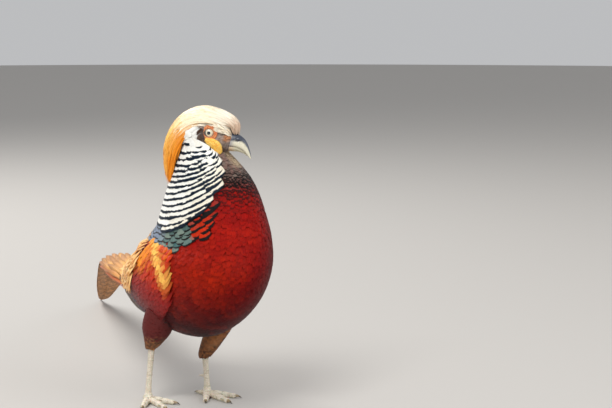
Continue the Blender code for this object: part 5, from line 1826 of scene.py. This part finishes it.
@dataclass
class Eye:
    """An eye with its lids and the bare skin round them."""

    side: Side
    out: float = 0.0092
    radius: float = 0.006
    ring: float = 0.0049  # the iris's radius
    stretch: float = 1.12  # how much longer than high the lids are
    wave: float = 0.00016  # the depth of their folds
    waves: int = 26  # how many folds go round
    lean: float = 0.06  # how far the front stands out, in metres a metre
    folds: tuple = (  # the lids' thin rim and the bare skin behind it, as fold takes them
        (0.0054, 0.00075, 0.0139, 1.3, 1.0),
        (0.0067, 0.0015, 0.0133, 0.72, 1.04),
    )

    def build_ball(self) -> Piece:
        """The eyeball, its front a little fuller."""
        deselect()
        bpy.ops.mesh.primitive_uv_sphere_add(segments=64, ring_count=48, radius=self.radius)
        ball = bpy.context.object
        ball.name = f"eyeball_{self.side.word}"
        flat = points_of(ball.data)
        u, w, out = flat.T
        full = 1 + 0.05 * clamp(out / self.radius) ** 4
        move_points(ball.data, HEAD.point(u, self.side.value * (self.out + out * full), w))
        away = np.where(out > 0, np.hypot(u, w) / self.ring, 2.0)
        note(ball.data, "out", away)
        merge(ball)
        return ball

    def fold(self, major: float, minor: float, out: float, flat: float, high: float) -> Piece:
        """A soft ring round the eye.

        Args:
            major: Its radius.
            minor: Half its thickness.
            out: How far it stands from the middle of the head.
            flat: How flat it is, outwards.
            high: How much higher than wide it is.

        Returns:
            The ring.
        """
        deselect()
        bpy.ops.mesh.primitive_torus_add(
            major_segments=72, minor_segments=20, major_radius=major, minor_radius=minor
        )
        piece = bpy.context.object
        u, w, rise = points_of(piece.data).T
        turn = np.arctan2(w, u)
        wave = self.wave * np.sin(turn * self.waves) * (np.abs(rise) > 0.2 * minor)
        v = self.side.value * (out + rise * flat + wave + self.lean * u)
        tall = 1 + (high - 1) * clamp(np.sin(turn))
        move_points(piece.data, HEAD.point(u * self.stretch, v, w * tall))
        merge(piece)
        return piece

    def build_lids(self) -> Piece:
        """The lids' thin rim and the bare skin behind it."""
        return join([self.fold(*fold) for fold in self.folds], f"lids_{self.side.word}")

    def dress(self, ball: Piece, lids: Piece) -> None:
        """Gives the eye its finishes."""
        dress(ball, EyeFinish(f"eye_{self.side.word}").make(), Slot.EYE, f"eye_{self.side.word}")
        flesh = FleshFinish(f"eye_skin_{self.side.word}", tint(236, 164, 108), tint(204, 104, 54), 1100.0)
        dress(lids, flesh.make(), Slot.WATTLE)


@dataclass
class Wattle:
    """The golden fold below the eye, made from the frame's own node."""

    side: Side
    middle: float = -0.009  # above this, from the head's middle, the fold stays as the frame has it
    fade: float = 0.012  # over this depth below it the fold is set back and out
    low_back: float = 0.0024  # how far back and out its lowest part is set, to lie over the feathers
    low_out: float = 0.003

    def build(self) -> Piece:
        """Copies the node, fuses it finely and puckers its face."""
        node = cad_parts[f"wattle_{self.side.word}"]
        piece = add_object(f"wattle_fold_{self.side.word}", node.data.copy())
        merge(piece)
        remesh(piece, 0.0004, 6)
        points = points_of(piece.data)
        normals = np.array([tuple(vertex.normal) for vertex in piece.data.vertices])
        ripple = 0.00025 * cloud(points, 0.0035, 15) + 0.00015 * cloud(points, 0.0016, 16)
        points = points + normals * (0.0004 + ripple)[:, None]
        u, v, w = HEAD.local(points).T
        low = clamp((self.middle - w) / self.fade)
        v = v + self.side.value * self.low_out * low
        move_points(piece.data, HEAD.point(u - self.low_back * low, v, w))
        return piece

    def dress(self, piece: Piece) -> None:
        """Gives the wattle its finish."""
        word = self.side.word
        finish = FleshFinish(f"wattle_skin_{word}", tint(255, 216, 112), tint(246, 178, 60), 1000.0)
        dress(piece, finish.make(), Slot.WATTLE, f"wattle_{word}")


@dataclass
class Bill:
    """The bill: u, w of the ridge, w of the edge and half width of each half, and the nostrils."""

    upper: tuple = (
        (0.0215, 0.0026, -0.0112, 0.0074),
        (0.0238, 0.0022, -0.0116, 0.0072),
        (0.0285, 0.0014, -0.0115, 0.0062),
        (0.0330, -0.0006, -0.0127, 0.0051),
        (0.0372, -0.0040, -0.0149, 0.0038),
        (0.0408, -0.0095, -0.0184, 0.0025),
        (0.0436, -0.0158, -0.0215, 0.0013),
        (0.0450, -0.0208, -0.0230, 0.0005),
    )
    lower: tuple = (
        (0.0150, -0.0122, -0.0172, 0.0062),
        (0.0238, -0.0119, -0.0174, 0.0064),
        (0.0285, -0.0118, -0.0168, 0.0054),
        (0.0338, -0.0136, -0.0173, 0.0039),
        (0.0380, -0.0162, -0.0186, 0.0024),
        (0.0404, -0.0190, -0.0201, 0.0010),
    )
    nostril: tuple = (0.0292, 0.0058, -0.005)
    slit: tuple = (0.0024, 0.0014, 0.0009)
    shield: tuple = (0.0034, 0.0012, 0.0016)

    def half(self, name: str, rows: tuple, is_upper: bool) -> Piece:
        """One half of the bill, round on the outside and flat at the mouth."""
        places = np.linspace(0, len(rows) - 1, 40)
        u, high, low, half = spline(np.array(rows), places).T[:, :, None]
        turn = np.linspace(0, math.pi, 21)
        rise = np.sin(turn) ** 0.8
        w = low + (high - low) * rise if is_upper else high - (high - low) * rise
        v = half * np.cos(turn)
        flat = np.linspace(-1, 1, 9)[1:-1]
        v = np.concatenate((np.broadcast_to(v, (40, 21)), half * flat), 1)
        edge = np.broadcast_to(low if is_upper else high, (40, 7))
        w = np.concatenate((np.broadcast_to(w, (40, 21)), edge), 1)
        piece = wrap(HEAD.point(np.broadcast_to(u, v.shape), v, w))
        piece.name = name
        u, _, w = HEAD.local(points_of(piece.data)).T
        run = clamp((u - 0.022) / 0.022)
        row_u, row_high, row_low, _ = np.array(rows).T
        ridge, foot = np.interp(u, row_u, row_high), np.interp(u, row_u, row_low)
        top = clamp((w - foot) / np.maximum(ridge - foot, 1e-4)) * float(is_upper)
        note(piece.data, "along", run)
        note(piece.data, "top", top * np.interp(run, (0, 0.35, 0.55, 1.0), (1.45, 1.35, 1.0, 0.9)))
        return piece

    def build(self) -> tuple[Piece, Piece]:
        """Makes both halves and cuts the nostrils under a small shield."""
        upper = self.half("bill_upper_horn", self.upper, True)
        lower = self.half("bill_lower_horn", self.lower, False)
        shields = []
        for side in Side:
            for size, inward, up in ((self.slit, 0.0, 0.0), (self.shield, 0.001, 0.0016)):
                deselect()
                bpy.ops.mesh.primitive_uv_sphere_add(segments=24, ring_count=16, radius=1.0)
                ball = bpy.context.object
                u, v, w = self.nostril
                local = points_of(ball.data) * size + (u, side.value * (v - inward), w + up)
                move_points(ball.data, HEAD.point(*local.T))
                merge(ball)
                if size is self.shield:
                    note(ball.data, "along", np.full(len(local), 0.05))
                    note(ball.data, "top", np.full(len(local), 1.0))
                    shields.append(ball)
                else:
                    apply_modifier(upper, "BOOLEAN", operation="DIFFERENCE", object=ball, solver="EXACT")
                    bpy.data.objects.remove(ball)
        return join([upper, *shields], "bill_upper_horn"), lower

    def dress(self, upper: Piece, lower: Piece) -> None:
        """Gives the bill its finishes."""
        slate = HornFinish("upper_horn", tint(58, 64, 78), tint(222, 216, 192), tint(150, 146, 150), 0.28)
        dress(upper, slate.make(), Slot.BILL, "bill_upper")
        pale = HornFinish("lower_horn", tint(190, 180, 150), tint(208, 202, 176), tint(206, 178, 146), 0.34)
        dress(lower, pale.make(), Slot.BILL, "bill_lower")


@dataclass
class Skin:
    """The one skin of the head, neck, body and thighs under the feathers."""

    depth: float = 0.0026
    voxel: float = 0.0014

    def build(self, legs: Sequence[Leg]) -> Piece:
        """Fuses the forms and colours each point as the feathers that grow there."""
        parts = [
            wrap(form_rings(BODY_FORM, np.linspace(0.3, 12.9, 70), -self.depth, 64)),
            wrap(form_rings(HEAD_FORM, np.linspace(0.0, 6.9, 30), -0.0009, 40)),
        ]
        for leg in legs:
            parts.append(wrap(form_rings(leg.thigh_form(), np.linspace(0, 3.9, 24), -0.0016, 28)))
        skin = join([*parts, self.crest_bed()], "skin")
        remesh(skin, self.voxel, 5)
        self.colour(skin)
        return skin

    def crest_bed(self) -> Piece:
        """The raised bed that the crest's locks grow from."""
        places = np.linspace(0.3, 9.6, 30)
        rings = []
        for place in places:
            angles = np.linspace(-1.25, 1.25, 15)
            thin = min(max((place - 6.0) / 6.0, 0.0), 1.0)
            top = CREST_FORM.above(np.full(15, place), angles, np.full(15, -0.0034 + 0.0016 * thin))
            low = CREST_FORM.above(np.full(15, place), angles[::-1], np.full(15, -0.012 + 0.007 * thin))
            rings.append(np.concatenate((top, low)))
        return wrap(np.array(rings))

    def colour(self, skin: Piece) -> None:
        """Gives each point the colour of the nearest feather."""
        spots = np.concatenate([points.reshape(-1, 3) for points, _ in ROOTS])
        colours = np.concatenate([values for _, values in ROOTS])
        tree = KDTree(len(spots))
        for i, spot in enumerate(spots):
            tree.insert(spot, i)
        tree.balance()
        near = [tree.find(point)[1] for point in points_of(skin.data)]
        note(skin.data, "base", colours[near])

    def dress(self, skin: Piece) -> None:
        """Gives the skin its finish."""
        nodes = ("head", "neck", "torso", "thigh_right", "thigh_left")
        dress(skin, SkinFinish().make(), Slot.BREAST, *nodes)


@dataclass
class Studio:
    """The camera at the photograph's angle, the pale floor and soft lights."""

    camera: tuple = (-0.8732171, -1.6422825, 0.4456036)
    turn: tuple = (83.0, 0.0, -32.365)
    lens: float = 100.0
    target: tuple = (-0.05, -0.2, 0.18)  # what the lights face

    def build(self) -> None:
        """Sets up everything that isn't the bird."""
        data = bpy.data.cameras.new("camera")
        data.lens = self.lens
        data.sensor_width = 36.0
        data.dof.use_dof = False
        camera = add_object("camera", data)
        camera.location = Vector(self.camera) - Vector(MIDDLE)
        camera.rotation_euler = Euler([math.radians(value) for value in self.turn])
        bpy.context.scene.camera = camera
        deselect()
        below = (0.0, 0.0, -2 * FLOOR_GAP)
        bpy.ops.mesh.primitive_circle_add(vertices=96, radius=9.0, fill_type="NGON", location=below)
        floor = bpy.context.object
        floor.name = "floor"
        floor.data.materials.append(PlainFinish("studio_floor", tint(186, 183, 179)).make())
        self.light("key", (-1.7, -1.3, 2.3), 1.2, 56.0, (1.0, 0.985, 0.96))
        self.light("fill", (1.3, -2.4, 1.4), 2.0, 26.0, (0.97, 0.98, 1.0))
        self.light("back", (-0.3, 2.0, 2.1), 1.3, 56.0, (1.0, 0.98, 0.95))
        bpy.context.scene.view_settings.view_transform = "Standard"
        world = bpy.data.worlds.new("studio_light")
        world.use_nodes = True
        background = world.node_tree.nodes["Background"]
        background.inputs["Color"].default_value = (0.92, 0.93, 0.95, 1.0)
        background.inputs["Strength"].default_value = 0.55
        bpy.context.scene.world = world

    def light(self, name: str, place: tuple, size: float, power: float, colour: tuple) -> None:
        """A soft square light that faces the bird."""
        data = bpy.data.lights.new(name, "AREA")
        data.size = size
        data.energy = power
        data.color = colour
        lamp = add_object(name, data)
        lamp.location = place
        ahead = Vector(self.target) - Vector(place)
        lamp.rotation_euler = ahead.to_track_quat("-Z", "Y").to_euler()


BODY_TRACTS = (
    BodyTract("throat_feathers", (0.75, 3.1), (0.0028, 0.0028), 0.0085, 0.005, 51),
    BodyTract("breast_feathers", (2.9, 7.4), (0.0042, 0.004), 0.015, 0.007, 54),
    BodyTract("belly_feathers", (7.2, 11.3), (0.0048, 0.0046), 0.017, 0.0076, 57),
)


def main() -> None:
    """Builds the bird's pieces in order and sets up the studio."""
    logging.basicConfig(level=logging.INFO, format="%(name)s %(message)s")
    cuts = {cut: cut.model() for cut in CUTS}
    legs = [Leg(side) for side in Side]
    for tract, *used in (
        *((tract, BODY_CUT) for tract in BODY_TRACTS),
        (Mantle(), MANTLE_CUT),
        (Ruff(), RUFF_CUT),
        (Rump(), PLUME_CUT),
        (TailCoverts(), LANCE_CUT),
        (Tail(), TAIL_CUT),
        (FaceCoat(), SMALL_CUT, LOCK_CUT, RUFF_CUT),
        (Crest(), LOCK_CUT),
    ):
        tract.dress(tract.build(*(cuts[cut] for cut in used)))
    for side in Side:
        wing, eye, wattle = Wing(side), Eye(side), Wattle(side)
        wing.dress(wing.build(cuts[BODY_CUT], cuts[QUILL_CUT]))
        eye.dress(eye.build_ball(), eye.build_lids())
        wattle.dress(wattle.build())
    for leg in legs:
        thigh = leg.build_thigh(cuts[BODY_CUT])
        leg.dress(leg.build_skin(), leg.build_scales(cuts[SCALE_CUT]), leg.build_claws(), thigh)
    bill = Bill()
    bill.dress(*bill.build())
    skin = Skin()
    skin.dress(skin.build(legs))
    Studio().build()
    deselect()


if __name__ == "__main__":
    main()
